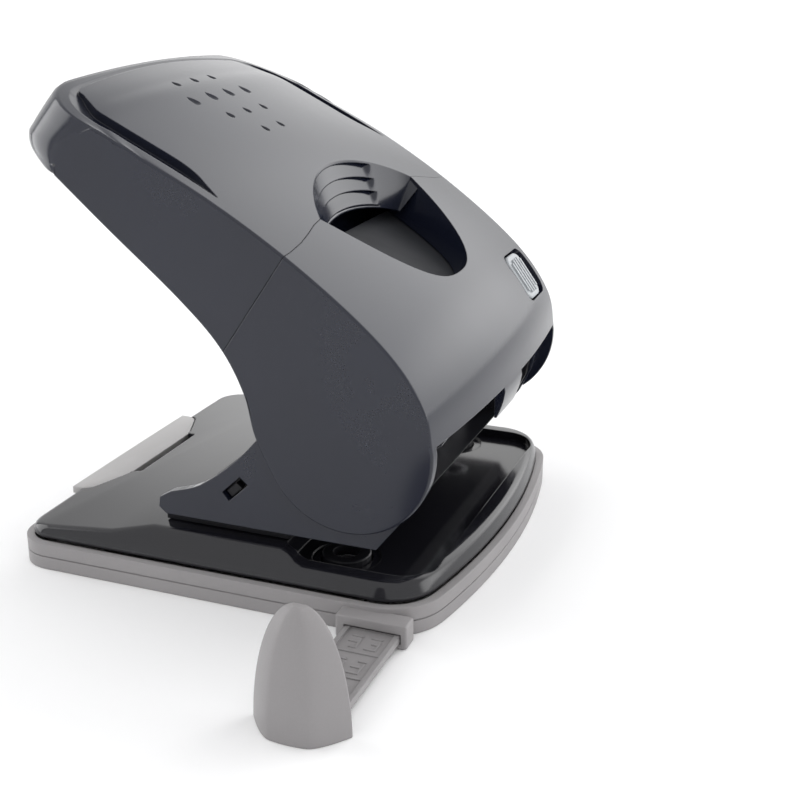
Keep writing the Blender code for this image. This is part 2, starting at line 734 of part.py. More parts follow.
def return_spring(name, side, mat):
    turns = 8
    per_turn = 12
    low = 22.8
    high = 40.3
    curve = bpy.data.curves.new(name, "CURVE")
    curve.dimensions = "3D"
    curve.bevel_depth = 0.4 * MM
    curve.bevel_resolution = 1
    curve.use_fill_caps = True
    line = curve.splines.new("POLY")
    count = turns * per_turn
    line.points.add(count)
    for k in range(count + 1):
        angle = 2 * math.pi * k / per_turn
        z = low + (high - low) * k / count
        line.points[k].co = (4.25 * MM * math.cos(angle), 4.25 * MM * math.sin(angle), z * MM, 1.0)
    spring = bpy.data.objects.new(name, curve)
    PARTS.objects.link(spring)
    spring.data.materials.append(mat)
    spring.location = (side * PIN_X * MM, 0, 0)
    return spring


# --- the handle ----------------------------------------------------------------------------------
def seam_outline(gap):
    """Everything behind the seam: straight across, stepped back to the opening's corners."""
    step = [(90, -0.3), (50, -0.3), (44, 0.3), (39, 1.3), (34, 2.5), (30, 3.0), (28.4, -0.8), (20, -0.8)]
    run = [(-x, v + gap) for x, v in step] + [(x, v + gap) for x, v in reversed(step)]
    return run + [(90, 150), (-90, 150)]


def boss(name, x, share, low, high):
    """A screw boss inside the hood, standing square to its surface."""
    start, _ = hood_point(share, low)
    end, _ = hood_point(share, high)
    return rod(name, 3.6, (x, *start), (x, *end), sides=12)


def screw_hole(name, x, share, radius, low, high):
    start, _ = hood_point(share, low)
    end, _ = hood_point(share, high)
    return rod(name, radius, (x, *start), (x, *end), sides=12)


REAR_SCREWS = [(-34.0, 0.34), (34.0, 0.34)]
FRONT_SCREWS = [(-38.0, 0.60), (38.0, 0.60)]
LEVER_SCREWS = [(-22.0, 0.44), (22.0, 0.44)]


def hood_cavity(name, screws, collar, opening):
    """The hollow of a shell and its finger opening, less the screw bosses and the opening's collar."""
    cavity = crowned_loft(name, cavity_side(), HOOD_HALF_W - HOOD_WALL)
    cut(cavity, collar, solver="MANIFOLD")
    for k, (x, share) in enumerate(screws):
        post = boss(f"{name}_boss_{k}", x, share, -8.0, PANEL_DEPTH - GAP)
        cut(post, screw_hole(f"{name}_boss_hole_{k}", x, share, 1.6, 6.0, PANEL_DEPTH + 2.0))
        cut(cavity, post, solver="MANIFOLD")
    join(cavity, opening, solver="MANIFOLD")
    return cavity


def handle_rear_shell(mat):
    shell = crowned_loft("handle_rear_shell", hood_side(), HOOD_HALF_W, mat)
    collar = grip_funnel("rear_collar", 2.2, GRIP_FOOT_W, 12.0)
    opening = grip_funnel("rear_opening", 0.0, GRIP_FOOT_W - 2.0, 14.0)
    cut(shell, hood_cavity("rear_cavity", REAR_SCREWS, collar, opening), solver="MANIFOLD")
    boolean(shell, "INTERSECT", grip_prism("behind_seam", seam_outline(0.0), -120.0, 60.0), "MANIFOLD")
    return shell


def handle_front_shell(mat):
    shell = crowned_loft("handle_front_shell", hood_side(), HOOD_HALF_W, mat)
    collar = grip_prism("front_collar", grip_outline(2.2), -14.0, 30.0)
    below = [(-60.0, -40.0), (40.0, -40.0), (40.0, GAP), (-60.0, GAP)]
    below_floor = prism_mesh(below, -50.0, 50.0, side_frame(FLOOR_ORIGIN, FLOOR_SLOPE))
    cut(collar, keep("below_floor", below_floor))
    opening = grip_prism("front_opening", grip_outline(), -14.0, 40.0)
    cavity = hood_cavity("front_cavity", FRONT_SCREWS, collar, opening)
    cut(cavity, box("front_tongue", (-7.6, -45.0, 38.0), (7.6, -26.4, 60.0)), solver="MANIFOLD")
    width, height = LOCK_WINDOW
    window = keep("lock_window", prism_mesh(rounded_box(width, height, 3.0), -6.0, 12.0, LOCK))
    join(cavity, window, solver="MANIFOLD")
    cut(shell, cavity, grip_prism("ahead_of_seam", seam_outline(-GAP), -120.0, 60.0), solver="MANIFOLD")
    return shell


def grip_floor(mat):
    """The plate that closes the bottom of the finger opening, held under the front shell."""
    corners = [(-31.8, 0.4), (31.8, 0.4), (31.8, -14.0), (16.0, -30.5), (-16.0, -30.5), (-31.8, -14.0)]
    outline = fillet(corners, [1.0, 1.0, 8.0, 6.0, 6.0, 8.0])
    frame = tilted(FLOOR_ORIGIN, FLOOR_SLOPE)
    return keep("grip_floor", prism_mesh(outline, -FLOOR_SHEET, 0.0, frame), mat)


def strip(depth, sheet, first, last):
    """A sheet that follows the hood's upper edge at a depth below it, as a side view."""
    upper = [tuple(p) for p, _ in hood_run(depth, first, last)]
    lower = [tuple(p) for p, _ in hood_run(depth + sheet, first, last)]
    return upper + lower[::-1]


def handle_inner_panel(mat):
    half = HOOD_HALF_W - HOOD_WALL - GAP
    outline = strip(PANEL_DEPTH, PANEL_SHEET, 0.29, 0.77)
    panel = side_prism("handle_inner_panel", outline, -half, half, mat)
    for k, (x, share) in enumerate(REAR_SCREWS + FRONT_SCREWS + LEVER_SCREWS):
        cut(panel, screw_hole(f"panel_hole_{k}", x, share, 1.8, PANEL_DEPTH - 3, PANEL_DEPTH + 5))
    return panel


def press_lever(mat):
    depth = PANEL_DEPTH + PANEL_SHEET + 1.3 * GAP
    web = strip(depth, 1.8, 0.37, 0.60)
    hub = arc((PIVOT_Y, PIVOT_Z), 6.2, math.radians(110.0), math.radians(260.0), 8)
    foot = arc((BAR_Y, BAR_Z), 5.4, math.radians(250.0), math.radians(350.0), 5)
    outline = hub + foot + [tuple(p) for p, _ in hood_run(depth + 1.0, 0.37, 0.77)]
    lever = side_prism("press_lever", outline, -32.2, 32.2, mat)
    middle = [(-60.0, 20.0), (90.0, 20.0), (90.0, 110.0), (-60.0, 110.0)]
    cut(lever, side_prism("lever_middle", middle, -30.2, 30.2))
    join(lever, side_prism("lever_web", web, -32.2, 32.2))
    cut(lever, rod("lever_shaft_hole", SHAFT_R + GAP, (-60, PIVOT_Y, PIVOT_Z), (60, PIVOT_Y, PIVOT_Z)))
    cut(lever, rod("lever_bar_hole", BAR_R + GAP, (-60, BAR_Y, BAR_Z), (60, BAR_Y, BAR_Z)))
    for k, (x, share) in enumerate(LEVER_SCREWS):
        cut(lever, screw_hole(f"lever_screw_hole_{k}", x, share, 1.8, depth - 3, depth + 5))
    return lever


def hood_screw(name, x, share, seat_depth, length, mat):
    """A pan-head screw whose head bears on a sheet from below, square to the hood."""
    seat, normal = hood_point(share, seat_depth + GAP)
    profile = [(0.0, length), (1.3, length), (1.3, 0.0), (2.8, 0.0), (2.6, -1.0), (1.6, -1.5), (0.0, -1.5)]
    screw = turned(name, profile, mat, (x, seat.x, seat.y), 14)
    screw.rotation_euler = (math.atan2(-normal.x, normal.y), 0, 0)
    return screw


def lock_slider(mat):
    width, height = LOCK_BUTTON
    left = -LOCK_WINDOW[0] / 2 + 0.5
    right = left + width
    top = height / 2
    button = fillet([(left, -top), (right, -top), (right, top), (left, top)], 2.8)
    slider = keep("lock_slider", prism_mesh(button, -4.8, 2.2, LOCK), mat)
    flange = [(left - 1.6, -8.3), (right + 0.2, -8.3), (right + 0.2, 8.3), (left - 1.6, 8.3)]
    join(slider, keep("lock_flange", prism_mesh(flange, -5.9, -4.2, LOCK)))
    return slider


def lock_bolt(mat):
    start = -LOCK_WINDOW[0] / 2
    outline = [(start - 1.0, -10.5), (start + 8.0, -10.5), (start + 8.0, 4.0), (start - 1.0, 4.0)]
    return keep("lock_bolt", prism_mesh(fillet(outline, 1.0), -7.7, -6.2, LOCK), mat)


# --- parenting -----------------------------------------------------------------------------------
def hang(name, where, children):
    """An empty on a joint's axis, with the pieces that move about it as its children."""
    pivot = bpy.data.objects.new(name, None)
    PARTS.objects.link(pivot)
    pivot.location = Vector(where) * MM
    bpy.context.view_layer.update()
    for child in children:
        child.parent = pivot
        child.matrix_parent_inverse = pivot.matrix_world.inverted()


def build():
    grey = material("grey_plastic", GREY, 0.5)
    dark = material("dark_plastic", DARK, 0.22)
    black = material("black_plastic", BLACK, 0.16)
    pale = material("pale_plastic", PALE, 0.4)
    steel = material("plated_steel", STEEL, 0.3, 1.0)
    painted = material("painted_steel", PAINT, 0.35)
    springy = material("spring_steel", SPRING_STEEL, 0.35, 1.0)

    base_cover(black)
    base_plate(steel)
    punch_frame(painted)
    rod("pivot_shaft", SHAFT_R, (-49.9, PIVOT_Y, PIVOT_Z), (49.9, PIVOT_Y, PIVOT_Z), steel)
    for k, (x, y) in enumerate(screw_places()):
        frame_screw(f"frame_screw_{k + 1}", x, y, steel)
    for side, word in ((-1, "left"), (1, "right")):
        die(f"die_{word}", side, painted)
        cheek(f"frame_cheek_{word}", side, dark)
        pin_guide(f"pin_guide_{word}", side, steel)
        shaft_clip(f"shaft_clip_{word}", side, springy)
        return_spring(f"return_spring_{word}", side, springy)
        pin = punch_pin(f"punch_pin_{word}", side, steel)
        cap = spring_cap(f"spring_cap_{word}", side, steel)
        hang(f"{word}_pin_axis", (side * PIN_X, 0, PIN_TOP_Z), [pin, cap])

    handle = [
        handle_rear_shell(dark),
        handle_front_shell(dark),
        grip_floor(dark),
        handle_inner_panel(dark),
        press_lever(steel),
        rod("press_bar", BAR_R, (-44.4, BAR_Y, BAR_Z), (44.4, BAR_Y, BAR_Z), steel),
    ]
    panel_face = PANEL_DEPTH + PANEL_SHEET
    for k, (x, share) in enumerate(REAR_SCREWS + FRONT_SCREWS):
        handle.append(hood_screw(f"handle_screw_{k + 1}", x, share, panel_face, 9.0, steel))
    for k, (x, share) in enumerate(LEVER_SCREWS):
        handle.append(hood_screw(f"lever_screw_{k + 1}", x, share, panel_face + GAP + 1.8, 4.0, steel))
    hang("handle_pivot_axis", (0, PIVOT_Y, PIVOT_Z), handle)
    hang("lock_axis", LOCK_ORIGIN, [lock_slider(pale), lock_bolt(steel)])

    hang("tray_hinge_axis", (0, BASE_FRONT_Y, TRAY_H), [chip_tray(grey)])
    hang("guide_axis", (SLEEVE_X, (GUIDE_Y0 + GUIDE_Y1) / 2, GUIDE_Z0), [guide_arm(grey), guide_stop(grey)])


build()
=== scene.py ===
"""The looks of the two-hole punch: its finished shapes, its materials, and a studio to see it in.

Shapes are drawn in millimetres in the part's own frame, and turned into metres as they are made.
"""

import json
import math

import bmesh
import bpy
from mathutils import Matrix, Vector
from mathutils.bvhtree import BVHTree
from mathutils.interpolate import poly_3d_calc


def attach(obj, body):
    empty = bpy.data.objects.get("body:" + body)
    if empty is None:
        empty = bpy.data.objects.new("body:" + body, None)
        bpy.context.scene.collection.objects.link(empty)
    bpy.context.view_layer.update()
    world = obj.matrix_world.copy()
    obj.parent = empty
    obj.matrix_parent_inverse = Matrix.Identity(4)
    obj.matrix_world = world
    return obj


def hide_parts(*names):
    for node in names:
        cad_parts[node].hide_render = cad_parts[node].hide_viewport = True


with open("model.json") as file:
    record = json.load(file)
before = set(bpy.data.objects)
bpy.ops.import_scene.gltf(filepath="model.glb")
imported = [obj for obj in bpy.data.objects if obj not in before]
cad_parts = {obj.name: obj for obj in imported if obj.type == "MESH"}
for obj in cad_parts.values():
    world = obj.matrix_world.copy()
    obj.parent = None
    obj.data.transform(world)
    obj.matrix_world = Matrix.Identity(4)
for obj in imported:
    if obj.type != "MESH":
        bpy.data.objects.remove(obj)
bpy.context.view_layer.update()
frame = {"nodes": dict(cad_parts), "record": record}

MM = 0.001
GAP = 0.3
SEAM_GAP = 0.14

# --- sizes shared with the part, in millimetres ---------------------------------------------------
PIN_X = 40.0
BASE_HALF_W = 56.5
BASE_FRONT_Y = -31.0
BASE_REAR_Y = 85.4
BASE_FRONT_BOW = 7.0
BASE_REAR_BOW = 0.4
FRONT_CORNER_R = 14.0
REAR_CORNER_R = 9.0
TRAY_H = 7.0
TRAY_FLOOR = 1.2
TRAY_WALL = 2.0
TAB_TOP_Z = 10.2
COVER_FRONT_Z = 12.0
COVER_REAR_Z = 15.2
SLOT_FLOOR_Z = 9.8
PLATE_TOP_Z = 8.2

HOOD_HALF_W = 53.0
HOOD_WALL = 2.4
HOOD_CROWN = 3.2
HOOD_LIP_Z = 46.0
ROUND_END = (-5.5, 43.0)
ROUND_END_R = 20.5
HOOD_TOP = [
    (72.0, 117.3), (62.5, 114.0), (52.8, 110.0), (25.2, 96.1),
    (3.5, 82.4), (-14.3, 68.0), (-23.6, 55.5), (-26.0, 44.5),
]
HOOD_LOWER = [
    (11.6, 31.4), (17.2, 42.8), (19.9, 53.2), (25.5, 63.5),
    (35.3, 73.6), (53.2, 88.6), (66.0, 99.6),
]
HOOD_NOSE = [
    (66.0, 99.6), (73.5, 100.9), (78.6, 104.6), (79.7, 107.9), (78.3, 110.0), (75.2, 113.6), (72.0, 117.3),
]
HOOD_NOSE_SIDE = [
    (66.0, 99.6), (65.8, 101.0), (64.6, 103.8), (62.8, 106.4), (61.2, 108.0), (58.2, 109.6), (55.0, 111.1),
]
CORNER_R = 17.0
EDGE_R = 0.6
PANEL_DEPTH = 15.0
# across, and how far down the hood's upper edge from its rear, as a share
REAR_SCREWS = [(-34.0, 0.34), (34.0, 0.34)]
FRONT_SCREWS = [(-38.0, 0.60), (38.0, 0.60)]

# the groove's outer line along the sides, and the centre its rear corner turns about
GROOVE_X = 49.9
GROOVE_TURN = (36.0, 55.0)
# inner edge across, place along the part, depth
GROOVE_SIDE = [
    (49.5, 26.0, 0.05), (48.0, 29.0, 1.0), (45.9, 33.0, 1.9),
    (45.0, 37.5, 2.2), (45.0, 44.0, 2.2), (45.0, 51.0, 2.2),
]
# degrees round the corner, radius of the inner edge, depth
GROOVE_CORNER = [(22, 8.9, 2.2), (45, 9.0, 2.1), (64, 10.2, 1.5), (80, 12.2, 0.8)]
GROOVE_REAR = [(28.0, 69.3), (14.0, 69.9), (0.0, 70.1)]

# place along the part, places across, length, width and depth of the pits in a row
PIT_ROWS = [
    (58.7, (-9.1, 0.0, 9.1), 2.9, 2.5, 0.9),
    (51.4, (-13.65, -4.55, 4.55, 13.65), 4.2, 3.4, 0.6),
    (43.8, (-9.1, 0.0, 9.1), 2.9, 2.5, 0.9),
    (36.6, (-4.3, 4.3), 2.8, 2.3, 0.9),
]

GRIP_ORIGIN = Vector((0.0, 9.0, 86.3))
GRIP_SLOPE = math.radians(33.9)
GRIP_HALF_W = 30.0
GRIP_CORNER_V = 3.0
GRIP_REAR_V = 16.0
GRIP_FRONT_V = -26.8
GRIP_TOP_W = 2.6
GRIP_FOOT_W = -6.0
GRIP_FOOT_HALF_W = 25.2
GRIP_FOOT_CORNER_V = -0.4
GRIP_FOOT_REAR_V = 6.0
REAR_STEPS = 120
# across, and along the slope, from the hood's side to inside the opening
SEAM_STEP = [
    (90, -0.3), (50, -0.3), (44, 0.3), (39, 1.3), (34, 2.5), (30, 3.0), (28.4, -0.8), (20, -0.8),
]
FLOOR_ORIGIN = Vector((0.0, 17.1, 79.5))
FLOOR_SLOPE = math.radians(22.5)

LOCK_ORIGIN = Vector((40.0, -20.0, 63.2))
LOCK_SLOPE = math.radians(53.7)
LOCK_WINDOW = (18.8, 14.4)
LOCK_BUTTON = (10.4, 13.2)
LOCK_RIBS = 5

GUIDE_Y0 = -21.4
GUIDE_Y1 = -8.1
GUIDE_Z0 = 1.5
GUIDE_Z1 = 3.3
GUIDE_INNER_X = 12.0
SLEEVE_X = -60.5
STOP_BACK_X = -95.2
STOP_BULGE = 7.2
STOP_HALF_W = 11.0
STOP_H = 28.0
STOP_Y = -13.6

# --- the camera, at the photograph's angle --------------------------------------------------------
CAMERA_PLACE = Vector((-299.05, -111.25, 151.85)) * MM
CAMERA_RIGHT = Vector((0.35524, -0.93475, 0.00617))
CAMERA_UP = Vector((0.31550, 0.12611, 0.94051))
CAMERA_BACK = Vector((-0.87992, -0.33216, 0.33971))
CAMERA_LENS = 58.197

# --- the studio's lights --------------------------------------------------------------------------
SKY_BASE = 1.0
# azimuth and elevation in degrees, radius of the even part and of the faded edge, added strength
SKY_PATCHES = [
    (-22.0, 34.0, 4.0, 34.0, 1.7),
    (-33.0, 0.0, 10.0, 28.0, 1.0),
    (22.0, 18.0, 3.0, 18.0, 0.6),
    (-68.0, 10.0, 8.0, 24.0, 2.4),
]
CARD_AZIMUTH = 95.0
CARD_CORNER = Vector((-0.048, 0.065, 0.0))
# name, width, height, distance in metres, colour and emission
CARDS = [
    ("flag_card", 0.46, 0.42, 0.42, (0.0, 0.0, 0.0), 0.0),
    ("light_card", 0.36, 0.42, 0.40, (0.8, 0.8, 0.8), 1.7),
]

# --- colours, linear ------------------------------------------------------------------------------
DARK = (0.009, 0.011, 0.021)
FLOOR_DARK = (0.020, 0.021, 0.025)
BLACK = (0.009, 0.009, 0.012)
# near-black for the punch frame: partly its black paint, partly painted shade, kept as dark as the shade
# under the hood's lip
PAINT_AND_SHADE = (0.007, 0.007, 0.009)
GREY = (0.262, 0.252, 0.256)
TONGUE_GREY = (0.41, 0.40, 0.40)
PALE = (0.36, 0.38, 0.40)
STEEL = (0.56, 0.57, 0.59)
SPRING_STEEL = (0.42, 0.42, 0.44)


# --- the studio -----------------------------------------------------------------------------------
def make_camera():
    data = bpy.data.cameras.new("camera")
    data.lens = CAMERA_LENS
    data.sensor_width = 36.0
    data.clip_start = 0.01
    camera = bpy.data.objects.new("camera", data)
    bpy.context.scene.collection.objects.link(camera)
    axes = (CAMERA_RIGHT, CAMERA_UP, CAMERA_BACK, CAMERA_PLACE)
    camera.matrix_world = Matrix([[axis[row] for axis in axes] for row in range(3)] + [[0, 0, 0, 1]])
    bpy.context.scene.camera = camera


def direction(azimuth, elevation):
    """A unit vector from degrees about +Z from +X, and degrees above the horizon."""
    across = math.radians(azimuth)
    up = math.radians(elevation)
    return Vector((math.cos(up) * math.cos(across), math.cos(up) * math.sin(across), math.sin(up)))


def glow(tree, source, azimuth, elevation, inner, outer, strength):
    """A soft-edged round patch of light on the sky, as a strength to add."""
    aim = tree.nodes.new("ShaderNodeVectorMath")
    aim.operation = "DOT_PRODUCT"
    aim.inputs[1].default_value = direction(azimuth, elevation)
    tree.links.new(source, aim.inputs[0])
    fade = tree.nodes.new("ShaderNodeMapRange")
    fade.interpolation_type = "SMOOTHSTEP"
    fade.inputs["From Min"].default_value = math.cos(math.radians(outer))
    fade.inputs["From Max"].default_value = math.cos(math.radians(inner))
    fade.inputs["To Min"].default_value = 0.0
    fade.inputs["To Max"].default_value = strength
    tree.links.new(aim.outputs["Value"], fade.inputs["Value"])
    return fade.outputs["Result"]


def make_sky():
    """A white cyclorama all round, with a broad bright bank of light beyond the punch's right side."""
    world = bpy.data.worlds.new("studio")
    world.use_nodes = True
    tree = world.node_tree
    source = tree.nodes.new("ShaderNodeTexCoord").outputs["Generated"]
    total = None
    for patch in SKY_PATCHES:
        lit = glow(tree, source, *patch)
        if total is None:
            total = lit
            continue
        add = tree.nodes.new("ShaderNodeMath")
        add.operation = "ADD"
        tree.links.new(total, add.inputs[0])
        tree.links.new(lit, add.inputs[1])
        total = add.outputs["Value"]
    base = tree.nodes.new("ShaderNodeMath")
    base.operation = "ADD"
    base.inputs[1].default_value = SKY_BASE
    tree.links.new(total, base.inputs[0])
    background = tree.nodes["Background"]
    background.inputs["Color"].default_value = (1.0, 1.0, 1.0, 1.0)
    tree.links.new(base.outputs["Value"], background.inputs["Strength"])
    bpy.context.scene.world = world
    bpy.context.scene.view_settings.view_transform = "Standard"


def card(name, place, azimuth, size, color, strength):
    """A standing card facing the punch, seen only in reflections and by its light."""
    bm = bmesh.new()
    bmesh.ops.create_grid(bm, x_segments=2, y_segments=2, size=0.5)
    mesh = bpy.data.meshes.new(name)
    bm.to_mesh(mesh)
    bm.free()
    obj = bpy.data.objects.new(name, mesh)
    bpy.context.scene.collection.objects.link(obj)
    obj.scale = (size[0], size[1], 1.0)
    obj.rotation_euler = direction(azimuth, 0.0).to_track_quat("-Z", "Y").to_euler()
    obj.location = Vector(place)
    obj.visible_camera = False
    obj.visible_shadow = False
    mat = bpy.data.materials.new(name)
    mat.use_nodes = True
    shader = mat.node_tree.nodes["Principled BSDF"]
    shader.inputs["Base Color"].default_value = (*color, 1.0)
    shader.inputs["Roughness"].default_value = 1.0
    shader.inputs["Specular IOR Level"].default_value = 0.0
    shader.inputs["Emission Color"].default_value = (1.0, 1.0, 1.0, 1.0)
    shader.inputs["Emission Strength"].default_value = strength
    mesh.materials.append(mat)


def make_cards():
    """A black flag and a narrow bank of light standing behind the raised end."""
    for name, width, height, distance, color, strength in CARDS:
        place = CARD_CORNER + direction(CARD_AZIMUTH, 0.0) * distance + Vector((0, 0, height / 2))
        card(name, place, CARD_AZIMUTH, (width, height), color, strength)


def make_studio():
    make_sky()
    make_cards()
    bm = bmesh.new()
    bmesh.ops.create_grid(bm, x_segments=24, y_segments=24, size=4.0)
    mesh = bpy.data.meshes.new("floor")
    bm.to_mesh(mesh)
    bm.free()
    floor = bpy.data.objects.new("floor", mesh)
    bpy.context.scene.collection.objects.link(floor)
    floor.location.z = -0.0001
    mesh.materials.append(paper_white())


def paper_white():
    mat = bpy.data.materials.new("studio_floor")
    mat.use_nodes = True
    shader = mat.node_tree.nodes["Principled BSDF"]
    shader.inputs["Base Color"].default_value = (0.93, 0.93, 0.935, 1.0)
    shader.inputs["Roughness"].default_value = 0.9
    shader.inputs["Specular IOR Level"].default_value = 0.0
    return mat


# --- materials ------------------------------------------------------------------------------------
class Graph:
    """A material's nodes, with short calls for the ones used over and over."""

    def __init__(self, name):
        self.material = bpy.data.materials.new(name)
        self.material.use_nodes = True
        self.tree = self.material.node_tree
        self.shader = self.tree.nodes["Principled BSDF"]
        self.place = self.node("ShaderNodeTexCoord").outputs["Object"]

    def node(self, kind, **settings):
        made = self.tree.nodes.new(kind)
        for key, value in settings.items():
            setattr(made, key, value)
        return made

    def link(self, source, target):
        self.tree.links.new(source, target)

    def noise(self, scale, detail=2.0, stretch=None):
        made = self.node("ShaderNodeTexNoise")
        made.inputs["Scale"].default_value = scale
        made.inputs["Detail"].default_value = detail
        source = self.place
        if stretch is not None:
            mapping = self.node("ShaderNodeMapping")
            mapping.inputs["Scale"].default_value = stretch
            self.link(self.place, mapping.inputs["Vector"])
            source = mapping.outputs["Vector"]
        self.link(source, made.inputs["Vector"])
        return made.outputs["Fac"]

    def spread(self, source, low, high, start=0.3, end=0.7):
        made = self.node("ShaderNodeMapRange")
        made.inputs["From Min"].default_value = start
        made.inputs["From Max"].default_value = end
        made.inputs["To Min"].default_value = low
        made.inputs["To Max"].default_value = high
        self.link(source, made.inputs["Value"])
        return made.outputs["Result"]

    def blend(self, factor, first, second):
        made = self.node("ShaderNodeMix", data_type="RGBA")
        if isinstance(factor, float):
            made.inputs["Factor"].default_value = factor
        else:
            self.link(factor, made.inputs["Factor"])
        for socket, value in (("A", first), ("B", second)):
            target = [i for i in made.inputs if i.name == socket and i.type == "RGBA"][0]
            if isinstance(value, tuple):
                target.default_value = (*value, 1.0)
            else:
                self.link(value, target)
        return [o for o in made.outputs if o.type == "RGBA"][0]

    def bump(self, source, strength, distance, normal=None):
        made = self.node("ShaderNodeBump")
        made.inputs["Strength"].default_value = strength
        made.inputs["Distance"].default_value = distance
        self.link(source, made.inputs["Height"])
        if normal is not None:
            self.link(normal, made.inputs["Normal"])
        return made.outputs["Normal"]

    def rounded(self, radius):
        made = self.node("ShaderNodeBevel", samples=4)
        made.inputs["Radius"].default_value = radius
        return made.outputs["Normal"]

    def edges(self):
        """How far a point stands out on an edge or corner, from 0 to 1."""
        point = self.node("ShaderNodeNewGeometry").outputs["Pointiness"]
        return self.spread(point, 0.0, 1.0, 0.53, 0.62)


def scaled(color, factor):
    return tuple(channel * factor for channel in color)


def plastic(name, color, roughness, grain, wear, vary=0.12, level=0.5, round_mm=0.35):
    """Moulded plastic: a fine grain, slight mottling and scuffs, and paler rubbed edges."""
    graph = Graph(name)
    cloud = graph.spread(graph.noise(38.0, 3.0), 0.0, 1.0)
    base = graph.blend(cloud, scaled(color, 1.0 - vary), scaled(color, 1.0 + vary))
    speck = graph.spread(graph.noise(1900.0, 2.0), 0.0, 0.30, 0.45, 0.75)
    base = graph.blend(speck, base, scaled(color, 1.0 + 2.0 * vary))
    rubbed = graph.node("ShaderNodeMath", operation="MULTIPLY")
    graph.link(graph.edges(), rubbed.inputs[0])
    graph.link(graph.spread(graph.noise(160.0, 4.0), 0.0, wear), rubbed.inputs[1])
    base = graph.blend(rubbed.outputs["Value"], base, scaled(color, 1.0 + 6.0 * vary))
    graph.link(base, graph.shader.inputs["Base Color"])
    smear = graph.noise(55.0, 4.0, (1.0, 0.35, 1.0))
    graph.link(graph.spread(smear, roughness * 0.86, roughness * 1.16), graph.shader.inputs["Roughness"])
    graph.shader.inputs["Specular IOR Level"].default_value = level
    rounded = graph.rounded(round_mm * MM)
    fine = graph.bump(graph.noise(2600.0, 2.0), grain, 0.00002, rounded)
    broad = graph.bump(graph.noise(90.0, 1.0), grain * 0.25, 0.00004, fine)
    graph.link(broad, graph.shader.inputs["Normal"])
    return graph.material


def metal(name, color, roughness, brushed, grain):
    """Plated or brushed steel: streaks along the sheet, faint spangle and darker handling marks."""
    graph = Graph(name)
    streaks = graph.noise(900.0, 3.0, brushed)
    cloud = graph.spread(graph.noise(60.0, 4.0), 0.0, 1.0)
    tint = graph.blend(cloud, scaled(color, 0.84), scaled(color, 1.1))
    tint = graph.blend(graph.spread(streaks, 0.0, 0.35), tint, scaled(color, 0.7))
    graph.link(tint, graph.shader.inputs["Base Color"])
    graph.shader.inputs["Metallic"].default_value = 1.0
    graph.link(graph.spread(streaks, roughness * 0.7, roughness * 1.35), graph.shader.inputs["Roughness"])
    graph.link(graph.bump(streaks, grain, 0.00002, graph.rounded(0.25 * MM)), graph.shader.inputs["Normal"])
    return graph.material


MATERIALS = {
    "dark": plastic("moulded_dark_plastic", DARK, 0.17, 0.10, 0.08, 0.10, 0.5),
    "floor": plastic("matte_dark_plastic", FLOOR_DARK, 0.62, 0.35, 0.2, 0.12, 0.25),
    "black": plastic("polished_black_plastic", BLACK, 0.12, 0.05, 0.35, 0.10, 0.5, 0.5),
    "grey": plastic("matte_grey_plastic", GREY, 0.46, 0.30, 0.35, 0.04, 0.35),
    "tongue": plastic("matte_tongue_plastic", TONGUE_GREY, 0.40, 0.30, 0.3, 0.03, 0.4),
    "pale": plastic("matte_pale_plastic", PALE, 0.36, 0.25, 0.5, 0.05),
    # the punch frame's black paint, with its colour and sheen lowered further as painted shade for the dark
    # under the hood's lip
    "painted": plastic("black_paint_and_shade_steel", PAINT_AND_SHADE, 0.30, 0.25, 0.4, 0.15, 0.25),
    "steel": metal("plated_sheet_steel", STEEL, 0.28, (1.0, 0.08, 1.0), 0.07),
    "turned": metal("turned_steel", STEEL, 0.20, (1.0, 1.0, 4.0), 0.20),
    "spring": metal("spring_wire_steel", SPRING_STEEL, 0.30, (1.0, 1.0, 1.0), 0.15),
}


# --- outlines -------------------------------------------------------------------------------------
def fillet(points, radii, steps=10):
    """A closed outline with its corners rounded; a radius of 0 leaves a corner as it is."""
    out = []
    count = len(points)
    for i, point in enumerate(points):
        here = Vector(point)
        radius = radii[i] if isinstance(radii, (list, tuple)) else radii
        if radius <= 0:
            out.append((here.x, here.y))
            continue
        back = (Vector(points[i - 1]) - here).normalized()
        ahead = (Vector(points[(i + 1) % count]) - here).normalized()
        half = back.angle(ahead) / 2
        centre = here + (back + ahead).normalized() * (radius / math.sin(half))
        start = here + back * (radius / math.tan(half)) - centre
        end = here + ahead * (radius / math.tan(half)) - centre
        sweep = start.angle_signed(end)
        for k in range(steps + 1):
            turned = start.copy()
            turned.rotate(Matrix.Rotation(-sweep * k / steps, 2))
            out.append((centre.x + turned.x, centre.y + turned.y))
    return out


def spline(points, per_span=12):
    """Points along a smooth curve through the given ones, both ends included."""
    knots = [Vector(p) for p in points]
    ends = [2 * knots[0] - knots[1]] + knots + [2 * knots[-1] - knots[-2]]
    out = []
    for a, b, c, d in zip(ends, ends[1:], ends[2:], ends[3:]):
        for k in range(per_span):
            t = k / per_span
            square = (2 * a - 5 * b + 4 * c - d) * t * t
            cubic = (3 * b - a - 3 * c + d) * t ** 3
            out.append(tuple(0.5 * (2 * b + (c - a) * t + square + cubic)))
    out.append(tuple(knots[-1]))
    return out


def arc(centre, radius, start, end, steps):
    return [
        (centre[0] + radius * math.cos(start + (end - start) * k / steps),
         centre[1] + radius * math.sin(start + (end - start) * k / steps))
        for k in range(steps + 1)
    ]


def smoothstep(low, high, value):
    t = min(1.0, max(0.0, (value - low) / (high - low)))
    return t * t * (3 - 2 * t)


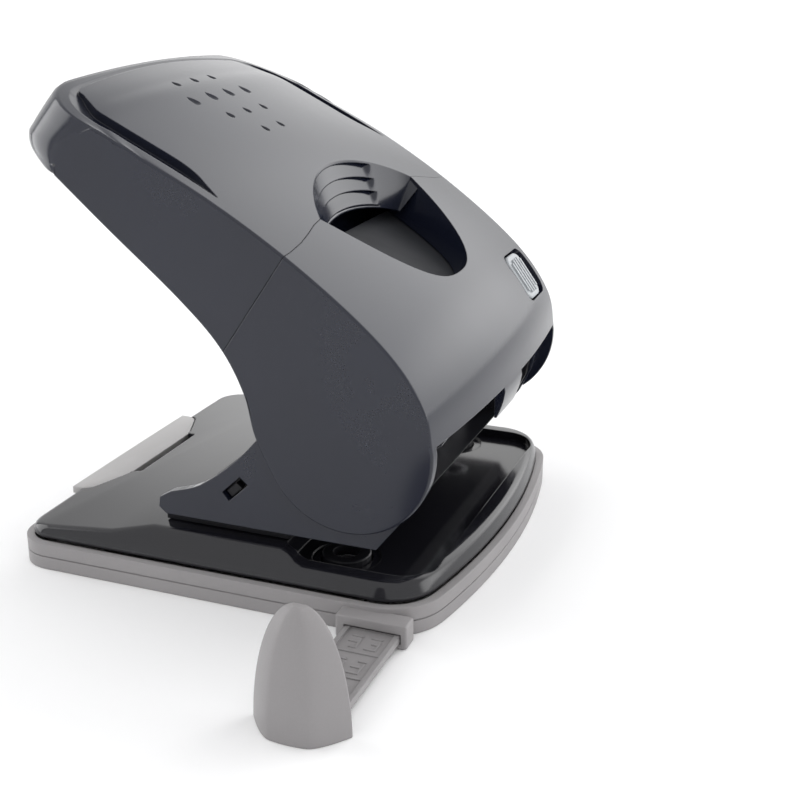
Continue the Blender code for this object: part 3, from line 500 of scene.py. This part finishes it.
def base_outline(inset, bow_steps=8):
    """The footprint in plan, bowed at the front and the rear."""
    half = BASE_HALF_W - inset
    front = BASE_FRONT_Y + inset
    rear = BASE_REAR_Y - inset
    steps = [k / bow_steps for k in range(-bow_steps, bow_steps + 1)]
    shares = [share for share in steps if abs(share) < 0.76 or abs(share) == 1.0]
    points = []
    radii = []
    for share in shares:
        points.append((half * share, front + BASE_FRONT_BOW * share * share))
        radii.append(FRONT_CORNER_R - inset if abs(share) == 1.0 else 0)
    for share in reversed(shares):
        points.append((half * share, rear - BASE_REAR_BOW * share * share))
        radii.append(REAR_CORNER_R - inset if abs(share) == 1.0 else 0)
    return fillet(points, radii)


def grip_outline(grow=0.0, half_w=GRIP_HALF_W, corner_v=GRIP_CORNER_V, rear_v=GRIP_REAR_V):
    """The finger opening: a flat round rear edge, and sides that close to a round front end."""
    half = half_w + grow
    rise = rear_v - corner_v + grow
    radius = (half * half + rise * rise) / (2 * rise)
    lean = math.asin(half / radius)
    centre = (0.0, rear_v + grow - radius)
    rear = arc(centre, radius, math.pi / 2 - lean, math.pi / 2 + lean, REAR_STEPS)
    depth = corner_v - GRIP_FRONT_V + grow
    front = []
    for k in range(1, 64):
        u = -half * math.cos(math.pi * k / 64)
        front.append((u, corner_v - depth * (1 - abs(u / half) ** 2.6)))
    return rear + front


# --- meshes ---------------------------------------------------------------------------------------
def as_object(name, bm, where=Matrix.Identity(4)):
    """A closed body in millimetres becomes an object in metres."""
    bmesh.ops.transform(bm, matrix=Matrix.Scale(MM, 4) @ where, verts=bm.verts)
    bmesh.ops.recalc_face_normals(bm, faces=bm.faces)
    mesh = bpy.data.meshes.new(name)
    bm.to_mesh(mesh)
    bm.free()
    obj = bpy.data.objects.new(name, mesh)
    bpy.context.scene.collection.objects.link(obj)
    return obj


def loft(name, rings, where=Matrix.Identity(4)):
    """A closed body through rings of the same count of points, with flat ends."""
    bm = bmesh.new()
    made = [[bm.verts.new(point) for point in ring] for ring in rings]
    for low, high in zip(made, made[1:]):
        for i in range(len(low)):
            j = (i + 1) % len(low)
            bm.faces.new((low[i], low[j], high[j], high[i]))
    ends = [bm.faces.new(made[0]), bm.faces.new(made[-1])]
    bmesh.ops.triangulate(bm, faces=ends)
    bmesh.ops.remove_doubles(bm, verts=bm.verts, dist=0.0005)
    return as_object(name, bm, where)


def prism(name, outline, low, high, where=Matrix.Identity(4)):
    rings = [[(x, y, z) for x, y in outline] for z in (low, high)]
    return loft(name, rings, where)


def block(name, low, high):
    corners = [(low[0], low[1]), (high[0], low[1]), (high[0], high[1]), (low[0], high[1])]
    return prism(name, corners, low[2], high[2])


def drum(name, radius, start, end, sides=64):
    """A round bar between two places."""
    span = Vector(end) - Vector(start)
    turn = Vector((0, 0, 1)).rotation_difference(span).to_matrix().to_4x4()
    where = Matrix.Translation(start) @ turn
    circle = arc((0.0, 0.0), radius, 0.0, 2 * math.pi, sides)[:-1]
    return prism(name, circle, 0.0, span.length, where)


# local x, y and z of an outline drawn in the side view become the part's y, z and x
SIDE_VIEW = Matrix(((0, 0, 1, 0), (1, 0, 0, 0), (0, 1, 0, 0), (0, 0, 0, 1)))


def tilted(origin, slope):
    """A frame on the hood: local x across, local y up the slope, local z out of the hood."""
    along = Vector((0, math.cos(slope), math.sin(slope)))
    out = Vector((0, -math.sin(slope), math.cos(slope)))
    axes = (Vector((1, 0, 0)), along, out, origin)
    return Matrix([[axis[row] for axis in axes] for row in range(3)] + [[0, 0, 0, 1]])


def side_frame(origin, slope):
    """The same frame with its axes renamed: local x up the slope, local y out, local z across."""
    made = tilted(origin, slope)
    return Matrix([(row[1], row[2], row[0], row[3]) for row in made])


GRIP = tilted(GRIP_ORIGIN, GRIP_SLOPE)
LOCK = tilted(LOCK_ORIGIN, LOCK_SLOPE)


def settle(obj):
    """Applies every modifier, so the object's own mesh is the finished one."""
    depsgraph = bpy.context.evaluated_depsgraph_get()
    mesh = bpy.data.meshes.new_from_object(obj.evaluated_get(depsgraph))
    obj.modifiers.clear()
    old = obj.data
    obj.data = mesh
    bpy.data.meshes.remove(old)
    mesh.name = obj.name


def combine(obj, operation, *tools):
    """Cuts, joins or intersects a shape with others, which are used up."""
    for tool in tools:
        mod = obj.modifiers.new(operation.lower(), "BOOLEAN")
        mod.operation = operation
        mod.object = tool
        mod.solver = "MANIFOLD"
        bpy.context.view_layer.update()
        settle(obj)
        bpy.data.objects.remove(tool, do_unlink=True)


def cut(obj, *tools):
    combine(obj, "DIFFERENCE", *tools)


def join(obj, *tools):
    combine(obj, "UNION", *tools)


def round_edges(obj, width, segments=3, degrees=40.0):
    mod = obj.modifiers.new("round", "BEVEL")
    mod.width = width * MM
    mod.segments = segments
    mod.limit_method = "ANGLE"
    mod.angle_limit = math.radians(degrees)
    mod.harden_normals = False
    bpy.context.view_layer.update()
    settle(obj)


def merge_flat(obj, degrees=0.4):
    """Joins faces that lie in one plane, so edges can be rounded evenly."""
    bm = bmesh.new()
    bm.from_mesh(obj.data)
    bmesh.ops.remove_doubles(bm, verts=bm.verts, dist=0.002 * MM)
    bmesh.ops.dissolve_limit(
        bm, angle_limit=math.radians(degrees), use_dissolve_boundaries=False,
        verts=bm.verts, edges=bm.edges)
    bm.to_mesh(obj.data)
    bm.free()


def smooth(obj, degrees=32.0):
    obj.data.shade_smooth()
    obj.data.set_sharp_from_angle(angle=math.radians(degrees))


def show(obj, body, nodes, material):
    """Gives a finished shape its material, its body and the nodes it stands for."""
    obj.data.materials.clear()
    obj.data.materials.append(MATERIALS[material])
    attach(obj, body)
    if nodes:
        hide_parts(*nodes)


# --- the hood's surfaces --------------------------------------------------------------------------
def outward(points):
    """The normals of an open run of (y, z) points, to the right of its direction of travel."""
    out = []
    for i in range(len(points)):
        before = Vector(points[max(i - 1, 0)])
        after = Vector(points[min(i + 1, len(points) - 1)])
        along = (after - before).normalized()
        out.append(Vector((along.y, -along.x)))
    return out


def hood_run(depth, first=0.0, last=1.0):
    """The hood's upper edge, rear to front, moved inwards by depth, with its outward normals."""
    run = spline(HOOD_TOP)
    normals = outward(run)
    count = len(run) - 1
    picked = range(round(first * count), round(last * count) + 1)
    return [(Vector(run[i]) - normals[i] * depth, normals[i]) for i in picked]


def upper_z(y):
    for (y1, z1), (y0, z0) in zip(HOOD_TOP, HOOD_TOP[1:]):
        if y >= y0:
            return z0 + (y - y0) * (z1 - z0) / (y1 - y0)
    return HOOD_TOP[-1][1]


def on_side(point):
    """Where a point of the hood's upper edge stands on the flat sides, past the rear corners."""
    start, end = HOOD_TOP[3][0], HOOD_TOP[0][0]
    if point.x <= start:
        return point
    y = start + (point.x - start) * (HOOD_NOSE_SIDE[-1][0] - start) / (end - start)
    knots = HOOD_TOP[:4]
    for (y1, z1), (y0, z0) in zip(knots, knots[1:]):
        if y >= y0:
            slope = (z1 - z0) / (y1 - y0)
            return Vector((y, z0 + (y - y0) * slope + point.y - upper_z(point.x)))
    return point


def hood_side():
    """The hood's side view, closed: (point, on the flat side, normal, crown share, edge share)."""
    loop = [(point, on_side(point), normal, 1.0, 1.0) for point, normal in hood_run(0.0)]
    for point in arc(ROUND_END, ROUND_END_R, math.radians(180.0), math.radians(325.0), 60):
        normal = (Vector(point) - Vector(ROUND_END)).normalized()
        share = max(0.0, 1.0 - (HOOD_TOP[-1][1] - point[1]) / 12.0)
        loop.append((Vector(point), Vector(point), normal, share, 1.0))
    for point in spline(HOOD_LOWER, 8)[:-1]:
        loop.append((Vector(point), Vector(point), Vector((0, 0)), 0.0, 1.0))
    nose = spline(HOOD_NOSE, 8)[:-1]
    nose_side = spline(HOOD_NOSE_SIDE, 8)[:-1]
    for i, (point, beside) in enumerate(zip(nose, nose_side)):
        away = (Vector(point) - Vector((66.0, 108.0))).normalized()
        share = i / len(nose)
        edge = max(smoothstep(0.82, 1.0, share), 1.0 - smoothstep(0.0, 0.12, share))
        loop.append((Vector(point), Vector(beside), away, 0.8 * share, edge))
    return loop


def cavity_side():
    """What is hollowed out of the hood between its side walls, with its underside left open."""
    inner = [(point, normal) for point, normal in hood_run(HOOD_WALL) if point.y > HOOD_LIP_Z]
    loop = [(point, on_side(point), normal, 1.0, 0.0) for point, normal in inner]
    corner = Vector((loop[-1][0].x, HOOD_LIP_Z))
    loop.append((corner, corner, loop[-1][2], 1.0, 0.0))
    below = [(-45.0, HOOD_LIP_Z), (-45.0, 10.0), (62.0, 10.0), (62.0, 101.2)]
    below += [(72.5, 103.6), (76.4, 107.2), (73.4, 111.6)]
    beside = below[:2] + [(60.0, 10.0), (60.0, 101.2), (61.5, 103.2), (60.2, 105.4), (56.6, 108.0)]
    for point, side in zip(below, beside):
        loop.append((Vector(point), Vector(side), Vector((0, 0)), 0.0, 0.0))
    return loop


def inward(ring):
    """The inward normals of a closed ring of (y, z) points."""
    count = len(ring)
    area = sum(ring[i].cross(ring[(i + 1) % count]) for i in range(count))
    turn = 1.0 if area > 0 else -1.0
    out = []
    for i in range(count):
        along = (ring[(i + 1) % count] - ring[i - 1]).normalized()
        out.append(Vector((-along.y, along.x)) * turn)
    return out


def crowned_loft(name, loop, half_width):
    """A side view swept across X: crowned in the middle, drawn in at the rear, its edges rounded."""
    flat = HOOD_HALF_W - CORNER_R
    edge_steps = 6 if loop[0][4] > 0 else 0
    half = [[(flat * k / 9, 0.0, 0.0)] * len(loop) for k in range(10)]
    for k in range(1, 13):
        turn = math.pi / 2 * k / 12
        row = []
        for _, _, _, _, edge in loop:
            x = flat + (half_width - EDGE_R * edge - flat) * math.sin(turn)
            row.append((x, 1 - math.cos(turn), 0.0))
        half.append(row)
    for k in range(1, edge_steps + 1):
        turn = math.pi / 2 * k / edge_steps
        row = []
        for _, _, _, _, edge in loop:
            x = half_width - EDGE_R * edge * (1 - math.sin(turn))
            row.append((x, 1.0, EDGE_R * edge * (1 - math.cos(turn))))
        half.append(row)
    inner = inward([beside for _, beside, _, _, _ in loop])
    rings = []
    for row, side in [(r, -1) for r in reversed(half[1:])] + [(r, 1) for r in half]:
        ring = []
        for (x, drawn, inset), (point, beside, normal, share, _), pull in zip(row, loop, inner):
            crown = HOOD_CROWN * (1 - (x / HOOD_HALF_W) ** 2)
            place = point.lerp(beside, drawn) + normal * crown * share + pull * inset
            ring.append((side * x, place.x, place.y))
        rings.append(ring)
    return loft(name, rings)


class Skin:
    """A smooth reference surface, for places on it and for the shading of what is cut from it."""

    def __init__(self, obj):
        mesh = obj.data
        self.points = [v.co.copy() for v in mesh.vertices]
        self.faces = [tuple(p.vertices) for p in mesh.polygons]
        self.flats = [p.normal.copy() for p in mesh.polygons]
        self.tree = BVHTree.FromPolygons(self.points, self.faces)
        self.normals = [Vector((0, 0, 0)) for _ in self.points]
        for polygon in mesh.polygons:
            for index in polygon.vertices:
                self.normals[index] += polygon.normal * math.sqrt(polygon.area)
        self.normals = [n.normalized() for n in self.normals]
        for polygon in mesh.polygons:
            if abs(polygon.normal.x) > 0.9999:
                for index in polygon.vertices:
                    self.normals[index] = polygon.normal.copy()

    def above(self, x, y):
        """The upper surface at a place in plan, in millimetres, and its normal."""
        start = Vector((x * MM, y * MM, 0.4))
        place, normal, _, _ = self.tree.ray_cast(start, Vector((0, 0, -1)))
        return place / MM, normal

    def normal_at(self, point):
        place, _, index, _ = self.tree.find_nearest(point)
        face = self.faces[index]
        weights = poly_3d_calc([self.points[i] for i in face], place)
        total = Vector((0, 0, 0))
        for weight, i in zip(weights, face):
            total += self.normals[i] * weight
        return total.normalized()

    def shade(self, obj, degrees=32.0):
        """Keeps the reference's smooth shading wherever its surface is left."""
        smooth(obj, degrees)
        mesh = obj.data
        own = [Vector(c.vector) for c in mesh.corner_normals]
        out = list(own)
        for polygon in mesh.polygons:
            if abs(polygon.normal.x) > 0.9995:
                for k in polygon.loop_indices:
                    out[k] = polygon.normal.copy()
                continue
            _, _, index, distance = self.tree.find_nearest(polygon.center)
            if distance > 0.02 * MM or self.flats[index].dot(polygon.normal) < 0.96:
                continue
            flat = self.flats[index]
            for k in polygon.loop_indices:
                on_side_wall = abs(flat.x) > 0.9999
                corner = mesh.vertices[mesh.loops[k].vertex_index].co
                out[k] = flat if on_side_wall else self.normal_at(corner)
        mesh.normals_split_custom_set(out)


# --- the handle -----------------------------------------------------------------------------------
def ridge_depth(u, w):
    """How far the finger ridges are cut into the opening's rear wall at a place on it."""
    if w > 1.9 or w < -5.6:
        return 0.0
    pitch = 2.45
    phase = ((1.9 - w) / pitch) % 1.0
    end = 16.4 + 0.6 * (1.9 - w) - 1.2 * phase
    rise = min(1.0, max(0.0, (u + 26.0) / (end + 26.0)))
    along = (0.22 * smoothstep(0.0, 0.4, rise) + 0.78 * rise ** 3.0) * (1 - smoothstep(end, end + 2.0, u))
    return 2.2 * along * (1.0 - phase) ** 0.8


def grip_funnel(name, grow, low, high, ridged=False):
    """The rear of the finger opening, whose wall leans in towards its foot."""
    top = grip_outline(grow, GRIP_HALF_W + 0.5)
    foot = grip_outline(grow, GRIP_FOOT_HALF_W, GRIP_FOOT_CORNER_V, GRIP_FOOT_REAR_V)
    levels = [low, high]
    if ridged:
        levels = [low] + [-5.8 + 0.12 * k for k in range(67)] + [high]
    rings = []
    for level in levels:
        share = (level - GRIP_FOOT_W) / (GRIP_TOP_W - GRIP_FOOT_W)
        ring = []
        for k, (a, b) in enumerate(zip(foot, top)):
            place = Vector(a).lerp(Vector(b), share)
            if ridged and 0 < k < REAR_STEPS:
                away = Vector((place.x * 0.35, 20.0)).normalized()
                place += away * ridge_depth(b[0], level)
            ring.append((place.x, place.y, level))
        rings.append(ring)
    return loft(name, rings, GRIP)


def seam_outline(gap):
    """Everything behind the seam: straight across, stepped back to the opening's corners."""
    run = [(-x, v + gap) for x, v in SEAM_STEP] + [(x, v + gap) for x, v in reversed(SEAM_STEP)]
    return run + [(90, 150), (-90, 150)]


def boss(name, x, share, radius, low, high):
    """A round bar standing in from the hood, at a share of the way down it, between two depths."""
    start, _ = hood_run(low, share, share)[0]
    end, _ = hood_run(high, share, share)[0]
    return drum(name, radius, (x, *start), (x, *end), 32)


def hood_cavity(name, screws, collar, opening):
    """The hollow of a shell and its finger opening, less the screw bosses and the opening's collar."""
    cavity = crowned_loft(name, cavity_side(), HOOD_HALF_W - HOOD_WALL)
    cut(cavity, collar)
    for k, (x, share) in enumerate(screws):
        post = boss(f"{name}_boss_{k}", x, share, 3.6, -8.0, PANEL_DEPTH - GAP)
        cut(post, boss(f"{name}_hole_{k}", x, share, 1.6, 6.0, PANEL_DEPTH + 2.0))
        cut(cavity, post)
    join(cavity, opening)
    return cavity


def groove_run():
    """The groove round the top, as (outer edge, inner edge, depth) along the right half."""
    outer = [(GROOVE_X, y) for _, y, _ in GROOVE_SIDE] + [(GROOVE_X, GROOVE_TURN[1])]
    inner = [(x, y) for x, y, _ in GROOVE_SIDE] + [(44.9, 55.2)]
    depth = [deep for _, _, deep in GROOVE_SIDE] + [2.1]
    for degrees, reach, deep in GROOVE_CORNER:
        across = math.cos(math.radians(degrees))
        back = math.sin(math.radians(degrees))
        outer.append((GROOVE_TURN[0] + 13.7 * across, GROOVE_TURN[1] + 13.9 * back))
        inner.append((GROOVE_TURN[0] + reach * across, GROOVE_TURN[1] + (reach + 0.2) * back))
        depth.append(deep)
    for x, y in GROOVE_REAR:
        outer.append((x, y))
        inner.append((x, y - 1.3))
        depth.append(0.55)
    return outer, inner, depth


def groove(name, skin):
    """The cutter for the groove: a band that follows the hood, deep at the sides, faint at the rear.

    Its floor falls towards the panel; at the rear it starts level with the rim, so it has no wall there.
    """
    outer, inner, depth = groove_run()
    outer = spline(outer, 6)
    inner = spline(inner, 6)
    depth = [d[0] for d in spline([(d, 0.0) for d in depth], 6)]
    run = list(zip(outer, inner, depth))
    run = run + [((-o[0], o[1]), (-i[0], i[1]), d) for o, i, d in reversed(run[:-1])]
    rings = []
    for o, i, d in run:
        outside, normal = skin.above(*o)
        inside, other = skin.above(*i)
        foot = inside - other * d + (outside - inside) * 0.06
        lip = 0.5 * smoothstep(68.0, 60.0, o[1])
        top = outside - normal * (d * lip - 0.03)
        rings.append([outside + normal * 2.5, top, foot, inside + other * 2.5])
    return loft(name, rings)


def pit(name, x, y, length, width, depth, skin):
    """A drop-shaped pit, its point towards the rear."""
    place, normal = skin.above(x, y)
    across = Vector((1, 0, 0))
    axes = (across, normal.cross(across).normalized(), normal, place)
    where = Matrix([[axis[row] for axis in axes] for row in range(3)] + [[0, 0, 0, 1]])
    rings = []
    for level, size in ((-depth, 0.35), (-depth * 0.6, 0.72), (0.0, 1.0), (1.0, 1.25)):
        ring = []
        for k in range(32):
            angle = 2 * math.pi * k / 32
            side = size * width / 2 * math.sin(angle) * math.sin(angle / 2) ** 0.8
            ring.append((side, size * length / 2 * math.cos(angle), level))
        rings.append(ring)
    return loft(name, rings, where)


def pits(skin):
    """The pits' cutters, in rows across the hood: one row of larger ones, and three of small ones."""
    made = []
    for y, places, length, width, depth in PIT_ROWS:
        for x in places:
            made.append(pit(f"pit_{len(made)}", x, y, length, width, depth, skin))
    return made


def handle_rear_shell():
    shell = crowned_loft("rear_shell_moulding", hood_side(), HOOD_HALF_W)
    skin = Skin(shell)
    tools = [groove("groove", skin)] + pits(skin)
    collar = grip_funnel("rear_collar", 2.2, GRIP_FOOT_W, 12.0)
    opening = grip_funnel("rear_opening", 0.0, GRIP_FOOT_W - 2.0, 14.0, ridged=True)
    cut(shell, hood_cavity("rear_cavity", REAR_SCREWS, collar, opening))
    combine(shell, "INTERSECT", prism("behind_seam", seam_outline(0.0), -120.0, 60.0, GRIP))
    cut(shell, *tools)
    skin.shade(shell)
    show(shell, "handle", ["handle_rear_shell"], "dark")


def handle_front_shell():
    shell = crowned_loft("front_shell_moulding", hood_side(), HOOD_HALF_W)
    skin = Skin(shell)
    collar = prism("front_collar", grip_outline(2.2), -14.0, 30.0, GRIP)
    below = [(-60.0, -40.0), (40.0, -40.0), (40.0, GAP), (-60.0, GAP)]
    cut(collar, prism("below_floor", below, -50.0, 50.0, side_frame(FLOOR_ORIGIN, FLOOR_SLOPE)))
    opening = prism("front_opening", grip_outline(), -14.0, 40.0, GRIP)
    cavity = hood_cavity("front_cavity", FRONT_SCREWS, collar, opening)
    cut(cavity, block("front_tongue", (-7.6, -45.0, 38.0), (7.6, -26.4, 60.0)))
    right, top = LOCK_WINDOW[0] / 2, LOCK_WINDOW[1] / 2
    window = fillet([(-right, -top), (right, -top), (right, top), (-right, top)], 3.0)
    join(cavity, prism("lock_window", window, -6.0, 12.0, LOCK))
    cut(shell, cavity)
    cut(shell, prism("ahead_of_seam", seam_outline(-SEAM_GAP), -120.0, 60.0, GRIP))
    skin.shade(shell)
    show(shell, "handle", ["handle_front_shell"], "dark")


def lock_slider():
    """The lock's button: a softly rounded pad with raised grip ribs, on its flange."""
    width, height = LOCK_BUTTON
    left = -LOCK_WINDOW[0] / 2 + 0.5
    right = left + width
    top = height / 2
    pad = fillet([(left, -top), (right, -top), (right, top), (left, top)], 2.8)
    slider = prism("lock_slider_moulding", pad, -4.8, 0.9, LOCK)
    merge_flat(slider)
    round_edges(slider, 0.6, 4)
    for k in range(LOCK_RIBS):
        x = left + 1.8 + (width - 3.6) * k / (LOCK_RIBS - 1)
        reach = top - 1.4 - (0.8 if k in (0, LOCK_RIBS - 1) else 0.0)
        line = fillet([(x - 0.42, -reach), (x + 0.42, -reach), (x + 0.42, reach), (x - 0.42, reach)], 0.4, 6)
        join(slider, prism(f"rib_{k}", line, 0.4, 1.4, LOCK))
    flange = [(left - 1.6, -8.3), (right + 0.2, -8.3), (right + 0.2, 8.3), (left - 1.6, 8.3)]
    join(slider, prism("lock_flange", flange, -5.9, -4.2, LOCK))
    smooth(slider)
    show(slider, "lock", ["lock_slider"], "pale")


# --- the tray and the guide -----------------------------------------------------------------------
def tab_outline(grow):
    """The tray's release tab in plan: broad at the rear edge, narrow where the slot is."""
    corners = [(-29.5, 90.0), (-29.5, 80.5), (-17.0, 75.6), (17.0, 75.6), (29.5, 80.5), (29.5, 90.0)]
    sides = [(x + math.copysign(grow, x), y - grow if y < 85 else y) for x, y in corners]
    return fillet(sides, [0, 4.0, 3.0, 3.0, 4.0, 0], 8)


def chip_tray():
    tray = prism("chip_tray_moulding", base_outline(0.0), 0.0, TRAY_H)
    round_edges(tray, 0.6, 3, 60.0)
    parting = prism("parting_outer", base_outline(-2.0), 3.35, 3.65)
    cut(parting, prism("parting_inner", base_outline(0.25), 0.0, TRAY_H))
    cut(tray, parting)
    hollow = prism("tray_hollow", base_outline(TRAY_WALL), TRAY_FLOOR, 30.0)
    for k, y in enumerate((GUIDE_Y0 - GAP - 1.4, GUIDE_Y1 + GAP)):
        cut(hollow, block(f"guide_rail_{k}", (-60.0, y, 0.0), (53.0, y + 1.4, 3.7)))
    cut(tray, hollow)
    sleeve = block("guide_sleeve", (SLEEVE_X, GUIDE_Y0 - 1.7, 0.02), (-55.5, GUIDE_Y1 + 2.4, 5.9))
    round_edges(sleeve, 0.5, 3)
    join(tray, sleeve)
    slot = block("guide_slot", (-70.0, GUIDE_Y0 - GAP, TRAY_FLOOR), (-44.0, GUIDE_Y1 + GAP, GUIDE_Z1 + 0.4))
    cut(tray, slot)
    merge_flat(tray)
    smooth(tray)
    show(tray, "tray", ["chip_tray"], "grey")

    tab = prism("tray_release_tab", tab_outline(0.0), 8.4, TAB_TOP_Z)
    combine(tab, "INTERSECT", prism("tab_limit", base_outline(0.2), 0.2, 20.0))
    round_edges(tab, 0.45, 3)
    join(tab, block("tab_post", (-24.0, 81.8, 1.3), (24.0, 83.3, 9.0)))
    smooth(tab)
    show(tab, "tray", [], "tongue")


def guide_arm():
    outer = STOP_BACK_X + GAP
    corners = [(outer, GUIDE_Y0), (GUIDE_INNER_X, GUIDE_Y0), (GUIDE_INNER_X, GUIDE_Y1), (outer, GUIDE_Y1)]
    arm = prism("guide_arm_moulding", fillet(corners, [0, 2.0, 2.0, 0]), GUIDE_Z0, GUIDE_Z1)
    sunk = block("sunk", (-94.0, GUIDE_Y0 + 1.2, GUIDE_Z1 - 0.5), (GUIDE_INNER_X - 3.0, GUIDE_Y1 - 1.2, 9.0))
    cut(arm, sunk)
    low = GUIDE_Z1 - 0.6
    high = GUIDE_Z1 - 0.25
    for k in range(9):
        x = -90.0 + 10.0 * k
        join(arm, block(f"divider_{k}", (x, GUIDE_Y0 + 1.0, low), (x + 0.5, GUIDE_Y1 - 1.0, high)))
        for row in range(2):
            y = GUIDE_Y0 + 2.9 + row * 4.6
            for mark in range(3):
                start = x + 2.0 + mark * 2.4
                tall = 2.8 if (k + row + mark) % 3 else 1.9
                join(arm, block(f"mark_{k}_{row}_{mark}", (start, y, low), (start + 0.55, y + tall, high)))
            join(arm, block(f"bar_{k}_{row}", (x + 2.0, y, low), (x + 6.2, y + 0.5, high)))
    smooth(arm)
    show(arm, "guide", ["guide_arm"], "grey")


def guide_stop():
    """A bullet-shaped fin: a flat back, and a bulged face of three soft facets."""
    levels = 40
    steps = 36
    rings = []
    for k in range(levels + 1):
        z = STOP_H * math.sin(math.pi / 2 * k / levels) * 0.995
        share = max(0.0, 1 - (z / STOP_H) ** 1.8) ** 0.45
        half = STOP_HALF_W * share
        bulge = 0.6 + (STOP_BULGE - 0.6) * share
        ring = []
        for i in range(steps + 1):
            across = -1 + 2 * i / steps
            facet = 1 - max(0.0, (abs(across) - 0.4) / 0.6) ** 1.45
            profile = 0.35 * (1 - across ** 2) + 0.65 * facet
            ring.append((STOP_BACK_X - 0.4 - bulge * profile, STOP_Y + half * across, z))
        ring.append((STOP_BACK_X, STOP_Y + half, z))
        ring.append((STOP_BACK_X, STOP_Y - half, z))
        rings.append(ring)
    stop = loft("guide_stop_moulding", rings)
    smooth(stop, 30.0)
    show(stop, "guide", ["guide_stop"], "grey")


# --- the base -------------------------------------------------------------------------------------
def screw_places():
    return [(x, y) for y in (20.0, 38.0) for x in (-38.0, 38.0)]


def base_cover():
    profile = [(-60.0, -5.0), (110.0, -5.0), (110.0, 7.6), (58.0, 12.4)]
    profile += [(46.5, COVER_REAR_Z), (12.0, COVER_REAR_Z)]
    profile += [(9.5, 14.4), (8.0, 12.8), (6.0, COVER_FRONT_Z), (-60.0, COVER_FRONT_Z)]
    rings = []
    for inset, z in ((1.5, TRAY_H + GAP), (5.0, 17.0)):
        rings.append([(x, y, z) for x, y in base_outline(inset)])
    cover = loft("base_cover_moulding", rings)
    combine(cover, "INTERSECT", prism("cover_profile", profile, -80.0, 80.0, SIDE_VIEW))
    merge_flat(cover, 0.2)
    round_edges(cover, 1.4, 6, 28.0)
    recess = fillet([(-49.0, -23.5), (49.0, -23.5), (49.0, 12.0), (-49.0, 12.0)], [9.0, 9.0, 2.0, 2.0])
    cut(cover, prism("paper_recess", recess, SLOT_FLOOR_Z, 30.0))
    low_pocket = fillet([(-50.0, -24.0), (50.0, -24.0), (50.0, 67.6), (-50.0, 67.6)], 6.0)
    cut(cover, prism("plate_pocket", low_pocket, -5.0, PLATE_TOP_Z + GAP))
    high_pocket = fillet([(-44.0, 15.0), (44.0, 15.0), (44.0, 47.0), (-44.0, 47.0)], 3.0)
    cut(cover, prism("frame_pocket", high_pocket, -5.0, 13.4))
    cut(cover, prism("tab_notch", tab_outline(0.35), -5.0, 30.0))
    slot = fillet([(-15.0, 72.4), (15.0, 72.4), (16.5, 77.5), (-16.5, 77.5)], 0.8)
    cut(cover, prism("tab_slot", slot, -5.0, 30.0))
    for side in (-1, 1):
        cut(cover, drum(f"die_hole_{side}", 6.3, (side * PIN_X, 0, -5), (side * PIN_X, 0, 20)))
        rim = drum(f"die_step_{side}", 8.4, (side * PIN_X, 0, SLOT_FLOOR_Z - 0.35), (side * PIN_X, 0, 20))
        cut(cover, rim)
    for k, (x, y) in enumerate(screw_places()):
        cut(cover, drum(f"screw_hole_{k}", 2.0, (x, y, -5), (x, y, 30), 32))
    smooth(cover, 26.0)
    show(cover, "base", ["base_cover"], "black")


# --- pieces that keep the part's own shape --------------------------------------------------------
SLOT_LOOKS = {
    "grey_plastic": "grey",
    "dark_plastic": "dark",
    "black_plastic": "black",
    "pale_plastic": "pale",
    "plated_steel": "steel",
    "painted_steel": "painted",
    "spring_steel": "spring",
}
TURNED = ("pivot_shaft", "press_bar", "screw", "die", "pin", "cap")


def dress_nodes():
    """Gives the pieces that keep the part's own shape the material of their slot."""
    slots = {row["node"]: row["material_slot"] for row in frame["record"]["subparts"]}
    for name, node in frame["nodes"].items():
        look = SLOT_LOOKS[slots[name]]
        if look == "steel" and any(word in name for word in TURNED):
            look = "turned"
        if name == "grip_floor":
            look = "floor"
        for slot in node.material_slots:
            slot.material = MATERIALS[look]


make_camera()
make_studio()
handle_rear_shell()
handle_front_shell()
lock_slider()
chip_tray()
guide_arm()
guide_stop()
base_cover()
dress_nodes()
